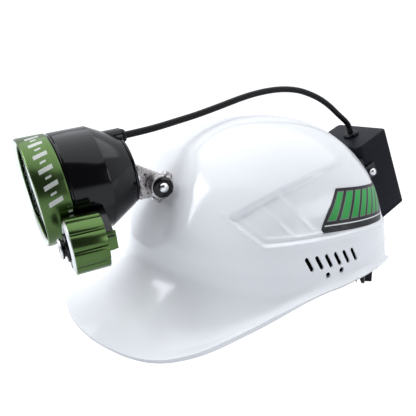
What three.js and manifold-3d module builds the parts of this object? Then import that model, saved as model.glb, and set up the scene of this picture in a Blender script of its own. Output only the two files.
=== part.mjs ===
// A cap lamp: a white bump cap that carries a tilting lamp head in front, a battery box behind,
// and the cable between them. Millimetres, +Z up, -Y to the front, +X to the wearer's left.
import * as THREE from "three";
import { mergeVertices } from "three/addons/utils/BufferGeometryUtils.js";
import Module from "manifold-3d";

const wasm = await Module();
wasm.setup();

// ---------------------------------------------------------------- driving dimensions
const GAP = 0.35; // running gap between touching pieces

// The cap's own frame: z = 0 near the brim, y = 0 at the middle of the dome.
const REST_TILT = THREE.MathUtils.degToRad(1.84); // nose-down lean when brim and nape touch the ground
const CAP_SHIFT = 11.92; // brings the middle of the whole length to y = 0
const CAP_LIFT = 17.68; // brings the lowest points to z = 0

// Shell
const WALL = 2.7;
const DOME = { halfWidth: 102.3, front: 105.3, back: 108.7, foot: 20.2, rise: 109.6, apexY: 4.2 };
const DOME_SIDE = 0.896; // exponents of the dome's upright curve and of its plan
const DOME_RISE = 0.962;
const DOME_PLAN = 0.876;
const RIM = { halfWidth: 108, front: 156, back: 119.6 };
const RIM_HEIGHTS = [
  // angle from the front in degrees, height of the rim's edge
  [0, -4.2], [22, -7.3], [42, -11], [56, -6.2], [70, 5], [84, 16],
  [97, 21.6], [113, 22], [130, 16.8], [152, 6], [180, 1],
];
const SEAT = { y: -82.1, z: 79.8, slope: 0.55 }; // flat seat for the lamp bracket, a slanted plane
const SEAT_ANGLE = Math.atan(SEAT.slope);

// Lamp head: y runs back from the bezel's front face along the lamp's axis
const LAMP = { y: -172, z: 84.4, pitch: THREE.MathUtils.degToRad(9.09) };
const BEZEL = { radius: 35.6, length: 17.6 };
const BODY = { front: 18.2, radius: 35.3, shoulder: 42.6, back: 61.4, backRadius: 25 };
const COVER = { radius: 23.8, thickness: 2.4 };
const NECK_RADIUS = 32.6;
const LENS = { radius: 32.4, front: 2.6, thickness: 2.4 };
const GLAND = { z: 24, radius: 5.7, end: 65 };
const PIVOT = { y: 78.7, z: -12.8 }; // in the lamp's frame
const FORK = { radius: 8.3, inner: 8.6, outer: 13.4 };
const KNOB = { x: 46.8, y: 8, z: -25.6, radius: 17.2, groove: 15.7, lobes: 10, length: 19.2, pitch: -0.05, yaw: -0.07 };

// Battery box: its frame has y = 0 at the outer face and z = 0 at the top
const BOX = { y: 124.3, z: 116.5, lean: THREE.MathUtils.degToRad(25.7), width: 62.2, height: 79.9, depth: 38.4 };
const BOX_WALL = 2.4;
const BOX_ROUND = 4.5;
const LID_THICKNESS = 3;
const GROMMET = { x: 3.1, y: -18 };

// Cable
const CABLE_RADIUS = 2.5;
const CABLE_ROUTE = [
  // x, y, z in the cap's frame, from just behind the gland to just above the grommet
  [0, -89.5, 122.3], [0, -79.5, 124.6], [0, -69.5, 127.1], [0, -53.5, 131.2], [0.1, -37.3, 136], [0.3, -25.6, 139.7], [0.6, -14.2, 143.3],
  [0.9, -2, 146.5], [1.2, 10.5, 148.9], [1.5, 22, 150.2], [1.8, 33, 150.4], [2.1, 45, 149.2],
  [2.4, 58, 145.8], [2.7, 69, 141.5], [2.9, 79, 136], [3, 88.6, 129.4],
];

// Suspension
const BAND = { halfWidth: 83, halfLength: 98, y: 2, low: 20, high: 44, thickness: 2 };
const NAPE = { low: -20.2, high: -4.6 };
const RATCHET = { reach: 0.58, thickness: 7.6, knobRadius: 9.2, knobLength: 8, z: -11.8 };

// ---------------------------------------------------------------- materials
const finish = (color, roughness, metalness = 0) => () =>
  new THREE.MeshStandardMaterial({ color, roughness, metalness });
const whiteShell = finish(0xf2f4f7, 0.18);
const greenMetal = finish(0x4f8a3d, 0.3, 0.9);
const blackMetal = finish(0x101114, 0.25, 0.6);
const nickel = finish(0xa39c98, 0.35, 1);
const steel = finish(0xc4c6c8, 0.3, 1);
const blackPlastic = finish(0x16171b, 0.5);
const boxPlastic = finish(0x1b1d26, 0.55);
const greyPlastic = finish(0x3a3c40, 0.6);
const rubber = finish(0x121214, 0.75);
const foam = finish(0x202124, 0.9);
const glass = finish(0xdfe8e4, 0.05);
const mirror = finish(0xe8e9ea, 0.08, 1);
const boardGreen = finish(0x1e5a34, 0.5);
const emitterYellow = finish(0xe8d36a, 0.4);
const cellBlue = finish(0x2d5fa8, 0.4);
const decalBlack = finish(0x17191b, 0.35);

// ---------------------------------------------------------------- helpers
const part = new THREE.Group();
const cap = new THREE.Group();
cap.position.set(0, CAP_SHIFT, CAP_LIFT);
cap.rotation.x = REST_TILT;
const lamp = new THREE.Group();
lamp.position.set(0, LAMP.y, LAMP.z);
lamp.rotation.x = LAMP.pitch;
const box = new THREE.Group();
box.position.set(0, BOX.y, BOX.z);
box.rotation.x = BOX.lean;
const seat = new THREE.Group(); // y = 0 on the seat's plane, -y out of it
seat.rotation.x = -SEAT_ANGLE;
part.add(cap);
cap.add(lamp, box, seat);

function add(group, name, geometry, material) {
  const mesh = new THREE.Mesh(geometry, material());
  mesh.name = name;
  group.add(mesh);
  return mesh;
}

// A closed geometry as a solid that booleans can use; turned round when its faces point inwards.
function solid(geometry) {
  const bare = geometry.clone();
  for (const name of Object.keys(bare.attributes)) {
    if (name !== "position") bare.deleteAttribute(name);
  }
  const merged = mergeVertices(bare, 1e-4);
  const build = (triVerts) =>
    new wasm.Manifold(
      new wasm.Mesh({ numProp: 3, vertProperties: merged.attributes.position.array, triVerts }),
    );
  const made = build(new Uint32Array(merged.index.array));
  return made.volume() >= 0 ? made : build(new Uint32Array(merged.index.array).reverse());
}

function geometryOf(manifold) {
  const mesh = manifold.getMesh();
  const geometry = new THREE.BufferGeometry();
  geometry.setAttribute("position", new THREE.BufferAttribute(mesh.vertProperties, 3));
  geometry.setIndex(new THREE.BufferAttribute(mesh.triVerts, 1));
  geometry.computeVertexNormals();
  return geometry;
}

const join = (...pieces) => geometryOf(pieces.map(solid).reduce((a, b) => a.add(b)));
const cut = (piece, ...tools) => geometryOf(tools.map(solid).reduce((a, b) => a.subtract(b), solid(piece)));

// A closed ring or disc about the y axis from its [radius, y] profile.
function turned(profile, segments = 40) {
  const points = profile.map(([r, y]) => new THREE.Vector2(r, y));
  if (profile[0][0] > 0) points.push(points[0].clone());
  return geometryOf(solid(new THREE.LatheGeometry(points, segments)));
}

const ring = (inner, outer, y0, y1, segments) =>
  turned([[inner, y0], [outer, y0], [outer, y1], [inner, y1]], segments);
const disc = (radius, y0, y1, segments) =>
  turned([[0, y0], [radius, y0], [radius, y1], [0, y1]], segments);
const block = (w, d, h, x = 0, y = 0, z = 0) => new THREE.BoxGeometry(w, d, h).translate(x, y, z);

// Turns a piece made about y so that its axis runs along x or z.
const alongX = (geometry) => geometry.rotateZ(-Math.PI / 2);
const alongZ = (geometry) => geometry.rotateX(Math.PI / 2);

function roundedRect(width, depth, radius) {
  const [w, d] = [width / 2, depth / 2];
  const shape = new THREE.Shape();
  shape.moveTo(-w + radius, -d);
  shape.lineTo(w - radius, -d).absarc(w - radius, -d + radius, radius, -Math.PI / 2, 0);
  shape.lineTo(w, d - radius).absarc(w - radius, d - radius, radius, 0, Math.PI / 2);
  shape.lineTo(-w + radius, d).absarc(-w + radius, d - radius, radius, Math.PI / 2, Math.PI);
  shape.lineTo(-w, -d + radius).absarc(-w + radius, -d + radius, radius, Math.PI, 1.5 * Math.PI);
  return shape;
}

const extruded = (shape, depth, curveSegments = 4) =>
  new THREE.ExtrudeGeometry(shape, { depth, bevelEnabled: false, curveSegments });

// ---------------------------------------------------------------- the cap shell
const power = (value, exponent) => Math.sign(value) * Math.abs(value) ** exponent;

function rimHeight(angle) {
  const degrees = THREE.MathUtils.radToDeg(Math.acos(Math.cos(angle)));
  const last = RIM_HEIGHTS.length - 1;
  let i = RIM_HEIGHTS.findIndex(([at]) => at >= degrees);
  i = i < 0 ? last : Math.max(i, 1);
  const at = (k) => RIM_HEIGHTS[Math.min(Math.max(k, 0), last)];
  const [[a0, z0], [a1, z1], [a2, z2], [a3, z3]] = [at(i - 2), at(i - 1), at(i), at(i + 1)];
  const u = (degrees - a1) / (a2 - a1);
  const slope1 = i === 1 ? 0 : ((z2 - z0) / (a2 - a0)) * (a2 - a1);
  const slope2 = i === last ? 0 : ((z3 - z1) / (a3 - a1)) * (a2 - a1);
  const [uu, uuu] = [u * u, u * u * u];
  return (
    (2 * uuu - 3 * uu + 1) * z1 + (uuu - 2 * uu + u) * slope1 + (3 * uu - 2 * uuu) * z2 + (uuu - uu) * slope2
  );
}

function rimPoint(angle) {
  const [s, c] = [Math.sin(angle), Math.cos(angle)];
  const x = RIM.halfWidth * power(s, c > 0 ? 0.94 : 0.85);
  const y = c > 0 ? -RIM.front * c ** 0.7 : RIM.back * (-c) ** 0.85;
  return new THREE.Vector3(x, y, rimHeight(angle));
}

// The dome without its seat: rise 0 at the foot, 1 at the crown.
function domePoint(angle, rise) {
  const phi = (rise * Math.PI) / 2;
  const r = Math.cos(phi) ** DOME_SIDE;
  const middle = (DOME.back - DOME.front) / 2;
  const halfLength = (DOME.back + DOME.front) / 2;
  const x = DOME.halfWidth * r * power(Math.sin(angle), DOME_PLAN);
  const y = middle + (DOME.apexY - middle) * (1 - r) - halfLength * r * power(Math.cos(angle), DOME_PLAN);
  const z = DOME.foot + DOME.rise * Math.sin(phi) ** DOME_RISE;
  return new THREE.Vector3(x, y, z);
}

// The seat's plane cuts the front of the dome flat, with a soft edge.
function seated(point) {
  const plane = SEAT.y + (point.z - SEAT.z) * SEAT.slope;
  const soft = 1.2;
  const y = Math.max(point.y, plane) + soft * Math.exp(-Math.abs(point.y - plane) / soft) * Math.LN2;
  return point.y > plane + 12 ? point : new THREE.Vector3(point.x, y, point.z);
}

// Where the wall ends and the brim's hollow curve begins.
function wallFoot(angle) {
  const front = Math.max(0, Math.cos(angle)) ** 1.5;
  return 0.04 + 0.075 * front;
}

const BRIM_SHARE = 0.4; // share of the rows that the brim takes
function shellPoint(angle, v) {
  const foot = wallFoot(angle);
  if (v >= BRIM_SHARE) {
    const u = (v - BRIM_SHARE) / (1 - BRIM_SHARE);
    return seated(domePoint(angle, foot + (1 - foot) * u));
  }
  const top = domePoint(angle, foot);
  const edge = rimPoint(angle);
  const out = new THREE.Vector3().subVectors(edge, top).setZ(0);
  const drop = top.z - edge.z;
  const reach = out.length();
  // Two handles: straight down below the wall, and along the brim's slope at the edge.
  const low = top.clone().add(new THREE.Vector3(0, 0, -Math.min(drop, 26) * 0.86));
  const slope = 0.16 + 0.9 * Math.exp(-reach / 12);
  const near = edge.clone().addScaledVector(out, -0.5).add(new THREE.Vector3(0, 0, reach * 0.5 * slope));
  const t = v / BRIM_SHARE;
  return new THREE.CubicBezierCurve3(edge, near, low, top).getPoint(t);
}

function shellNormal(angle, v) {
  const step = 1e-3;
  const along = shellPoint(angle + step, v).sub(shellPoint(angle - step, v));
  const up = shellPoint(angle, Math.min(v + step, 0.999)).sub(shellPoint(angle, Math.max(v - step, 0)));
  return along.cross(up).normalize();
}

const COLUMNS = 48;
function shellGeometry() {
  const rows = [0, 0.09, 0.19, 0.3, 0.4, 0.48, 0.57, 0.66, 0.74, 0.82, 0.89, 0.95];
  const position = [];
  const index = [];
  for (const inside of [false, true]) {
    for (const v of rows) {
      for (let i = 0; i < COLUMNS; i++) {
        const angle = (i / COLUMNS) * 2 * Math.PI;
        const p = shellPoint(angle, v);
        if (inside) p.addScaledVector(shellNormal(angle, v), -WALL);
        position.push(p.x, p.y, p.z);
      }
    }
  }
  const crown = domePoint(0, 1);
  position.push(crown.x, crown.y, crown.z, crown.x, crown.y, crown.z - WALL);
  const at = (side, row, i) => (side * rows.length + row) * COLUMNS + (i % COLUMNS);
  const quad = (a, b, c, d) => index.push(a, b, c, a, c, d);
  const poles = [2 * rows.length * COLUMNS, 2 * rows.length * COLUMNS + 1];
  const top = rows.length - 1;
  for (let i = 0; i < COLUMNS; i++) {
    for (let row = 0; row < top; row++) {
      quad(at(0, row, i), at(0, row, i + 1), at(0, row + 1, i + 1), at(0, row + 1, i));
      quad(at(1, row, i), at(1, row + 1, i), at(1, row + 1, i + 1), at(1, row, i + 1));
    }
    quad(at(0, 0, i), at(1, 0, i), at(1, 0, i + 1), at(0, 0, i + 1));
    index.push(at(0, top, i), at(0, top, i + 1), poles[0]);
    index.push(at(1, top, i + 1), at(1, top, i), poles[1]);
  }
  const geometry = new THREE.BufferGeometry();
  geometry.setAttribute("position", new THREE.Float32BufferAttribute(position, 3));
  geometry.setIndex(index);
  return geometry;
}

// Side vents: six slanted slots over two rivet holes, the same on each side.
const VENTS = { count: 6, firstY: -22.4, pitchY: 8.04, z: 36.9, length: 10.8, width: 2.5, lean: 0.48 };
const RIVET_HOLES = [[-7.2, 26.9], [5.2, 28.1]];
const HOLE_RADIUS = 2.1;
const DEPTH = 40; // how far a cutting tool reaches through the side wall

function ventTools(side) {
  const tools = [];
  for (let i = 0; i < VENTS.count; i++) {
    const slot = extruded(roundedRect(VENTS.width, VENTS.length, VENTS.width / 2 - 0.01), DEPTH, 2);
    slot.rotateY(Math.PI / 2).rotateX(Math.PI / 2 + VENTS.lean);
    slot.translate(70, VENTS.firstY + i * VENTS.pitchY, VENTS.z);
    tools.push(side < 0 ? slot.scale(-1, 1, 1) : slot);
  }
  for (const [y, z] of RIVET_HOLES) {
    tools.push(alongX(new THREE.CylinderGeometry(HOLE_RADIUS, HOLE_RADIUS, DEPTH, 8)).translate(side * 90, y, z));
  }
  return tools;
}

const fromFrame = (frame, x, y, z) => new THREE.Vector3(x, y, z).applyEuler(frame.rotation).add(frame.position);
const pivotInCap = fromFrame(lamp, 0, PIVOT.y, PIVOT.z);
const pivotDistance = // from the pivot's axis to the seat
  (SEAT.y + (pivotInCap.z - SEAT.z) * SEAT.slope - pivotInCap.y) * Math.cos(SEAT_ANGLE);
const seatPoint = new THREE.Vector3(0, Math.cos(SEAT_ANGLE), -Math.sin(SEAT_ANGLE))
  .multiplyScalar(pivotDistance)
  .add(pivotInCap);
seat.position.copy(seatPoint);
const FOOT = { width: 16, height: 24, thickness: 2, screwZ: 8.7 };
const SCREW_RADIUS = 1.6;

function throughSeat(z, radius) {
  const tool = new THREE.CylinderGeometry(radius, radius, 30, 8).translate(0, 0, z);
  tool.rotateX(-SEAT_ANGLE).translate(seatPoint.x, seatPoint.y, seatPoint.z);
  return tool;
}

const BOX_SCREWS = [-22, -48]; // heights of the two screws through the cap's back
function throughBack(z, radius) {
  const tool = new THREE.CylinderGeometry(radius, radius, 44, 8).translate(0, -BOX.depth - 14, z);
  tool.rotateX(BOX.lean).translate(0, BOX.y, BOX.z);
  return tool;
}

add(
  cap,
  "cap_shell",
  cut(
    shellGeometry(),
    ...ventTools(1),
    ...ventTools(-1),
    throughSeat(FOOT.screwZ, SCREW_RADIUS + GAP),
    throughSeat(-FOOT.screwZ, SCREW_RADIUS + GAP),
    throughBack(BOX_SCREWS[0], SCREW_RADIUS + GAP),
    throughBack(BOX_SCREWS[1], SCREW_RADIUS + GAP),
  ),
  whiteShell,
);

// ---------------------------------------------------------------- suspension
// A band that follows the head's oval between two angles, with its own heights at each angle.
function ovalBand(grow, thickness, from, to, heights, steps) {
  const whole = to - from >= 2 * Math.PI - 1e-6;
  const count = whole ? steps : steps + 1;
  const position = [];
  for (let i = 0; i < count; i++) {
    const angle = from + ((to - from) * i) / steps;
    const [low, high] = heights(angle);
    for (const [extra, z] of [[0, low], [thickness, low], [thickness, high], [0, high]]) {
      const x = (BAND.halfWidth + grow + extra) * Math.sin(angle);
      const y = BAND.y - (BAND.halfLength + grow + extra) * Math.cos(angle);
      position.push(x, y, z);
    }
  }
  const index = [];
  for (let i = 0; i < steps; i++) {
    const [a, b] = [i * 4, ((i + 1) % count) * 4];
    for (let k = 0; k < 4; k++) {
      const n = (k + 1) % 4;
      index.push(a + k, b + k, b + n, a + k, b + n, a + n);
    }
  }
  if (!whole) {
    const end = steps * 4;
    index.push(0, 1, 2, 0, 2, 3, end, end + 2, end + 1, end, end + 3, end + 2);
  }
  const geometry = new THREE.BufferGeometry();
  geometry.setAttribute("position", new THREE.Float32BufferAttribute(position, 3));
  geometry.setIndex(index);
  return geometryOf(solid(geometry));
}

const flat = (low, high) => () => [low, high];
add(cap, "headband", ovalBand(0, BAND.thickness, 0, 2 * Math.PI, flat(BAND.low, BAND.high), 48), greyPlastic);
add(cap, "brow_pad", ovalBand(-4.4, 4, -1.0, 1.0, flat(BAND.low - 3, BAND.high + 1), 18), foam);

// The nape strap hangs below the headband on two short arms.
const NAPE_REACH = 0.9;
function napeHeights(angle) {
  const away = Math.abs(angle - Math.PI);
  const arm = THREE.MathUtils.smoothstep(away, NAPE_REACH - 0.14, NAPE_REACH - 0.02);
  const rise = 13 * THREE.MathUtils.smoothstep(away, 0.6, NAPE_REACH);
  return [NAPE.low + rise, NAPE.high + rise + (BAND.high - 6 - NAPE.high - rise) * arm];
}
add(
  cap,
  "nape_strap",
  ovalBand(BAND.thickness + 0.5, 2.2, Math.PI - NAPE_REACH, Math.PI + NAPE_REACH, napeHeights, 26),
  greyPlastic,
);

add(cap, "nape_pad", ovalBand(-5.6, BAND.thickness + 5.7, Math.PI - 0.6, Math.PI + 0.6, flat(NAPE.low, NAPE.high), 14), foam);

const housingFront = BAND.y + BAND.halfLength + BAND.thickness + 3.05;
const housingBack = housingFront + RATCHET.thickness;
add(
  cap,
  "ratchet_housing",
  cut(
    ovalBand(
      BAND.thickness + 3.05, RATCHET.thickness, Math.PI - RATCHET.reach, Math.PI + RATCHET.reach,
      flat(NAPE.low, NAPE.high + 1.4), 12,
    ),
    new THREE.CylinderGeometry(3 + GAP, 3 + GAP, 30, 16).translate(0, housingBack - 0.5, RATCHET.z),
  ),
  blackPlastic,
);

function lobedDisc(radius, groove, lobes, hole) {
  const shape = new THREE.Shape();
  const half = Math.PI / lobes;
  // Each lobe is one arc that bulges between two grooves.
  const points = [];
  for (let i = 0; i < lobes; i++) {
    for (let k = 0; k < 5; k++) {
      const u = k / 5;
      const angle = (i * 2 + 2 * u) * half;
      const bulge = Math.sqrt(Math.max(0, 1 - (2 * u - 1) ** 2));
      const r = groove + (radius - groove) * bulge;
      points.push(new THREE.Vector2(r * Math.cos(angle), r * Math.sin(angle)));
    }
  }
  shape.setFromPoints(points);
  if (hole) shape.holes.push(new THREE.Path().absarc(0, 0, hole, 0, 2 * Math.PI, true));
  return shape;
}

// The knob's stub turns in the housing; its grip stands behind it.
const ratchetKnob = join(
  alongZ(extruded(lobedDisc(RATCHET.knobRadius, RATCHET.knobRadius - 1, 12), RATCHET.knobLength, 12)).translate(
    0, housingBack + 0.4 + RATCHET.knobLength, RATCHET.z,
  ),
  new THREE.CylinderGeometry(3, 3, RATCHET.thickness, 16).translate(0, housingBack + 0.8 - RATCHET.thickness / 2 + 0.5, RATCHET.z),
);
add(cap, "ratchet_knob", ratchetKnob, blackPlastic);

// Two straps cross under the crown; the side-to-side one lies below the other.
function crownStrap(reachX, reachY, topZ, width) {
  const endZ = BAND.high + 2.5;
  const steps = 14;
  const position = [];
  for (let i = 0; i <= steps; i++) {
    const t = -1 + (2 * i) / steps;
    const height = endZ + (topZ - endZ) * (1 - t * t) ** 0.75;
    const [px, py] = [reachX * t, BAND.y + reachY * t];
    const [wx, wy] = reachX ? [0, width / 2] : [width / 2, 0];
    for (const [side, dz] of [[-1, 0], [1, 0], [1, 1.4], [-1, 1.4]]) {
      const shrink = 1 + (dz / 1.4) * 0.012;
      position.push(px * shrink + side * wx, BAND.y + (py - BAND.y) * shrink + side * wy, height + dz);
    }
  }
  const index = [];
  for (let i = 0; i < steps; i++) {
    const [a, b] = [i * 4, i * 4 + 4];
    for (let k = 0; k < 4; k++) {
      const n = (k + 1) % 4;
      index.push(a + k, b + k, b + n, a + k, b + n, a + n);
    }
  }
  const end = steps * 4;
  index.push(0, 1, 2, 0, 2, 3, end, end + 2, end + 1, end, end + 3, end + 2);
  const geometry = new THREE.BufferGeometry();
  geometry.setAttribute("position", new THREE.Float32BufferAttribute(position, 3));
  geometry.setIndex(index);
  return geometryOf(solid(geometry));
}
add(cap, "crown_strap_long", crownStrap(0, 88, 106, 20), greyPlastic);
add(cap, "crown_strap_cross", crownStrap(80, 0, 102.5, 20), greyPlastic);

// Four keys tie the band and the straps to the shell.
const KEYS = [
  ["suspension_key_front", 0, -1],
  ["suspension_key_back", 0, 1],
  ["suspension_key_left", 1, 0],
  ["suspension_key_right", -1, 0],
];
for (const [name, x, y] of KEYS) {
  const reach = y ? BAND.halfLength + BAND.thickness + 0.3 : BAND.halfWidth + BAND.thickness + 0.3;
  const depth = y ? 1.7 : 8;
  const size = y ? [22, depth, 11] : [depth, 22, 13];
  const piece = block(...size, x * (reach + depth / 2), BAND.y + y * (reach + depth / 2), 29);
  add(cap, name, piece, blackPlastic);
}

// ---------------------------------------------------------------- side decals
// A slanted badge that lies on the dome's surface behind the vents.
function decalGeometry(side) {
  const [columns, rows] = [10, 3];
  const position = [];
  for (const lift of [GAP, GAP + 0.35]) {
    for (let j = 0; j <= rows; j++) {
      for (let i = 0; i <= columns; i++) {
        const [u, w] = [i / columns, j / rows];
        const angle = 1.5 + 0.15 * w - 0.12 * w * (1 - w) * (1 - u) + u * (0.68 + 0.08 * w);
        const rise = 0.2 - 0.025 * u + w * (0.178 - 0.015 * u);
        const p = domePoint(angle, rise);
        const e = 1e-3;
        const n = domePoint(angle + e, rise)
          .sub(domePoint(angle - e, rise))
          .cross(domePoint(angle, rise + e).sub(domePoint(angle, rise - e)))
          .normalize();
        p.addScaledVector(n, lift);
        position.push(side * p.x, p.y, p.z);
      }
    }
  }
  const across = columns + 1;
  const layer = across * (rows + 1);
  const index = [];
  const quad = (a, b, c, d) => index.push(a, b, c, a, c, d);
  for (let j = 0; j < rows; j++) {
    for (let i = 0; i < columns; i++) {
      const a = j * across + i;
      quad(a, a + across, a + across + 1, a + 1);
      quad(layer + a, layer + a + 1, layer + a + across + 1, layer + a + across);
    }
  }
  const edge = [];
  for (let i = 0; i < columns; i++) edge.push(i);
  for (let j = 0; j < rows; j++) edge.push(j * across + columns);
  for (let i = columns; i > 0; i--) edge.push(rows * across + i);
  for (let j = rows; j > 0; j--) edge.push(j * across);
  edge.forEach((a, k) => {
    const b = edge[(k + 1) % edge.length];
    quad(a, b, b + layer, a + layer);
  });
  const geometry = new THREE.BufferGeometry();
  geometry.setAttribute("position", new THREE.Float32BufferAttribute(position, 3));
  geometry.setIndex(index);
  return geometryOf(solid(geometry));
}
add(cap, "side_decal_left", decalGeometry(1), decalBlack);
add(cap, "side_decal_right", decalGeometry(-1), decalBlack);

// ---------------------------------------------------------------- bracket on the cap
const FOOT_FACE = -GAP - FOOT.thickness; // the foot plate's outer face
const TANG = { half: FORK.inner - 0.4, radius: 8 };
const BOLT_RADIUS = 2.5;
const HINGE_GAP = 0.35;
const tang = join(
  alongX(new THREE.CylinderGeometry(TANG.radius, TANG.radius, 2 * TANG.half, 28)).translate(0, -pivotDistance, 0),
  block(2 * TANG.half, pivotDistance - 1, 2 * TANG.radius - 5.6, 0, -(pivotDistance + 1) / 2, 0),
);
const boltHole = (radius, length) => alongX(new THREE.CylinderGeometry(radius, radius, length, 20));
const screwHoles = [1, -1].map((s) =>
  new THREE.CylinderGeometry(SCREW_RADIUS + GAP, SCREW_RADIUS + GAP, 9, 14).translate(0, 0, s * FOOT.screwZ),
);
add(
  seat,
  "bracket_foot",
  cut(
    join(
      tang,
      alongZ(alongZ(extruded(roundedRect(FOOT.width, FOOT.height, 5), FOOT.thickness).translate(0, 0, 0)))
        .rotateX(Math.PI / 2)
        .translate(0, FOOT_FACE, 0),
    ),
    block(60, 20, 60, 0, 10 - GAP, 0),
    boltHole(BOLT_RADIUS + GAP, 40).translate(0, -pivotDistance, 0),
    ...screwHoles,
  ),
  nickel,
);

// A pan-head screw along y: its head stands out of the plate towards -y, its shank runs to +y.
function panScrew(length, headRadius = 2.9) {
  return turned([
    [0, -1.9], [headRadius * 0.6, -1.8], [headRadius, -0.9], [headRadius, 0],
    [SCREW_RADIUS, 0], [SCREW_RADIUS, length], [0, length],
  ], 12);
}
const hexNut = (radius, height, bore) =>
  cut(new THREE.CylinderGeometry(radius, radius, height, 6), new THREE.CylinderGeometry(bore, bore, height + 4, 14));

[["upper", 1], ["lower", -1]].forEach(([word, s]) => {
  add(seat, "foot_screw_" + word, panScrew(FOOT.thickness + WALL + 5.5).translate(0, FOOT_FACE - GAP, s * FOOT.screwZ), steel);
  add(seat, "foot_nut_" + word, hexNut(3.8, 2.6, SCREW_RADIUS + GAP).translate(0, WALL + 1.9, s * FOOT.screwZ), steel);
});

const pivot = new THREE.Group();
pivot.position.set(0, PIVOT.y, PIVOT.z);
lamp.add(pivot);
const NUT = { start: FORK.outer + 1.5, length: 11, radius: 8.5 };
add(
  pivot,
  "pivot_bolt",
  join(
    alongX(new THREE.CylinderGeometry(5.2, 5.2, 3.2, 6)).translate(-FORK.outer - GAP - 1.6, 0, 0),
    boltHole(BOLT_RADIUS, FORK.outer + NUT.start + NUT.length + 1.7).translate(
      (NUT.start + NUT.length - 0.3 - FORK.outer - 2) / 2, 0, 0,
    ),
  ),
  steel,
);
add(pivot, "friction_washer", alongX(ring(BOLT_RADIUS + GAP, 7.4, FORK.outer + 0.3, NUT.start - 0.3, 28)), steel);
const nutProfile = [[0, 0], [NUT.radius - 0.6, 0], [NUT.radius, 0.8], [NUT.radius, NUT.length - 3],
  [NUT.radius - 2.6, NUT.length], [3.6, NUT.length], [2.9, NUT.length + 1.6], [0, NUT.length + 2.4]];
add(
  pivot,
  "thumb_nut",
  cut(
    alongX(turned(nutProfile, 24)).translate(NUT.start, 0, 0),
    boltHole(BOLT_RADIUS + GAP, 30).translate(NUT.start + NUT.length + 0.2 - 15, 0, 0),
  ),
  blackMetal,
);

// ---------------------------------------------------------------- lamp head
// Fork: a flange on the rear cover and two ears about the pivot.
const earShape = new THREE.Shape();
const EAR = { top: 4.6, bottom: -20.4 };
const flangeFace = BODY.back + GAP + COVER.thickness + GAP;
earShape.moveTo(flangeFace, EAR.bottom);
earShape.lineTo(flangeFace, EAR.top);
earShape.lineTo(flangeFace + 3, EAR.top);
earShape.lineTo(PIVOT.y + FORK.radius * 0.5, PIVOT.z + FORK.radius * 0.866);
earShape.absarc(PIVOT.y, PIVOT.z, FORK.radius, Math.PI / 3, -Math.PI / 2, true);
earShape.lineTo(flangeFace + 3, EAR.bottom);
earShape.closePath();
// The shape's x and y stand for the lamp's y and z.
function ear(side) {
  const thickness = FORK.outer - FORK.inner;
  const piece = extruded(earShape, thickness, 10);
  piece.rotateX(Math.PI / 2).rotateZ(Math.PI / 2);
  return piece.translate(side > 0 ? FORK.inner : -FORK.outer, 0, 0);
}
const flange = block(2 * FORK.outer, 3, EAR.top - EAR.bottom, 0, flangeFace + 1.5, (EAR.top + EAR.bottom) / 2);
add(
  lamp,
  "tilt_fork",
  cut(join(ear(1), ear(-1), flange), boltHole(BOLT_RADIUS + GAP, 60).translate(0, PIVOT.y, PIVOT.z)),
  nickel,
);

const bodyProfile = [
  [30, 6.6], [NECK_RADIUS, 6.6], [NECK_RADIUS, BODY.front], [34.1, BODY.front], [34.1, BODY.front + 1.4],
  [BODY.radius, BODY.front + 1.4], [BODY.radius, BODY.shoulder], [BODY.backRadius, BODY.back],
  [19, BODY.back], [19, BODY.back - 2.2], [22.5, BODY.back - 4], [31, BODY.shoulder - 1], [31, 20], [30, 19],
];
const glandBoss = new THREE.CylinderGeometry(GLAND.radius, GLAND.radius, 14, 20).translate(0, GLAND.end - 7, GLAND.z);
const cavity = turned([[0, 10], [29, 10], [30.6, 24], [30.6, 41], [22, 57], [0, 57]], 32);
add(
  lamp,
  "lamp_body",
  cut(
    join(turned(bodyProfile, 34), cut(glandBoss, cavity)),
    new THREE.CylinderGeometry(CABLE_RADIUS + GAP, CABLE_RADIUS + GAP, 30, 14).translate(0, 60, GLAND.z),
  ),
  blackMetal,
);
add(
  lamp,
  "rear_cover",
  cut(
    disc(COVER.radius, BODY.back + GAP, BODY.back + GAP + COVER.thickness, 44),
    new THREE.CylinderGeometry(GLAND.radius + GAP, GLAND.radius + GAP, 20, 20).translate(0, BODY.back, GLAND.z),
  ),
  blackMetal,
);
add(
  lamp,
  "cable_gland",
  cut(
    turned([[0, GLAND.end + GAP], [4.8, GLAND.end + GAP], [4.8, GLAND.end + 1.4], [3.9, GLAND.end + 3], [0, GLAND.end + 3]], 18),
    new THREE.CylinderGeometry(CABLE_RADIUS + GAP, CABLE_RADIUS + GAP, 30, 14).translate(0, GLAND.end, 0),
  ).translate(0, 0, GLAND.z),
  rubber,
);
[["left", 1], ["right", -1]].forEach(([word, s]) => {
  const screw = turned([[0, 0], [2.6, 0], [2.6, 0.3], [2.4, 1.2], [0, 1.4]], 14);
  add(lamp, "cover_screw_" + word, screw.translate(s * 18.6, flangeFace, -4), steel);
});

add(
  lamp,
  "bezel",
  turned([
    [NECK_RADIUS + GAP, BEZEL.length], [NECK_RADIUS + GAP, 2.2], [31.6, 2.2], [31.6, 1.6], [34.2, 0],
    [35.1, 0], [BEZEL.radius, 0.5], [BEZEL.radius, BEZEL.length],
  ], 44),
  greenMetal,
);
add(lamp, "front_lens", disc(LENS.radius, LENS.front, LENS.front + LENS.thickness, 36), glass);
add(lamp, "lens_gasket", ring(29.6, LENS.radius, LENS.front + LENS.thickness + 0.3, 6.3, 24), rubber);

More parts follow.
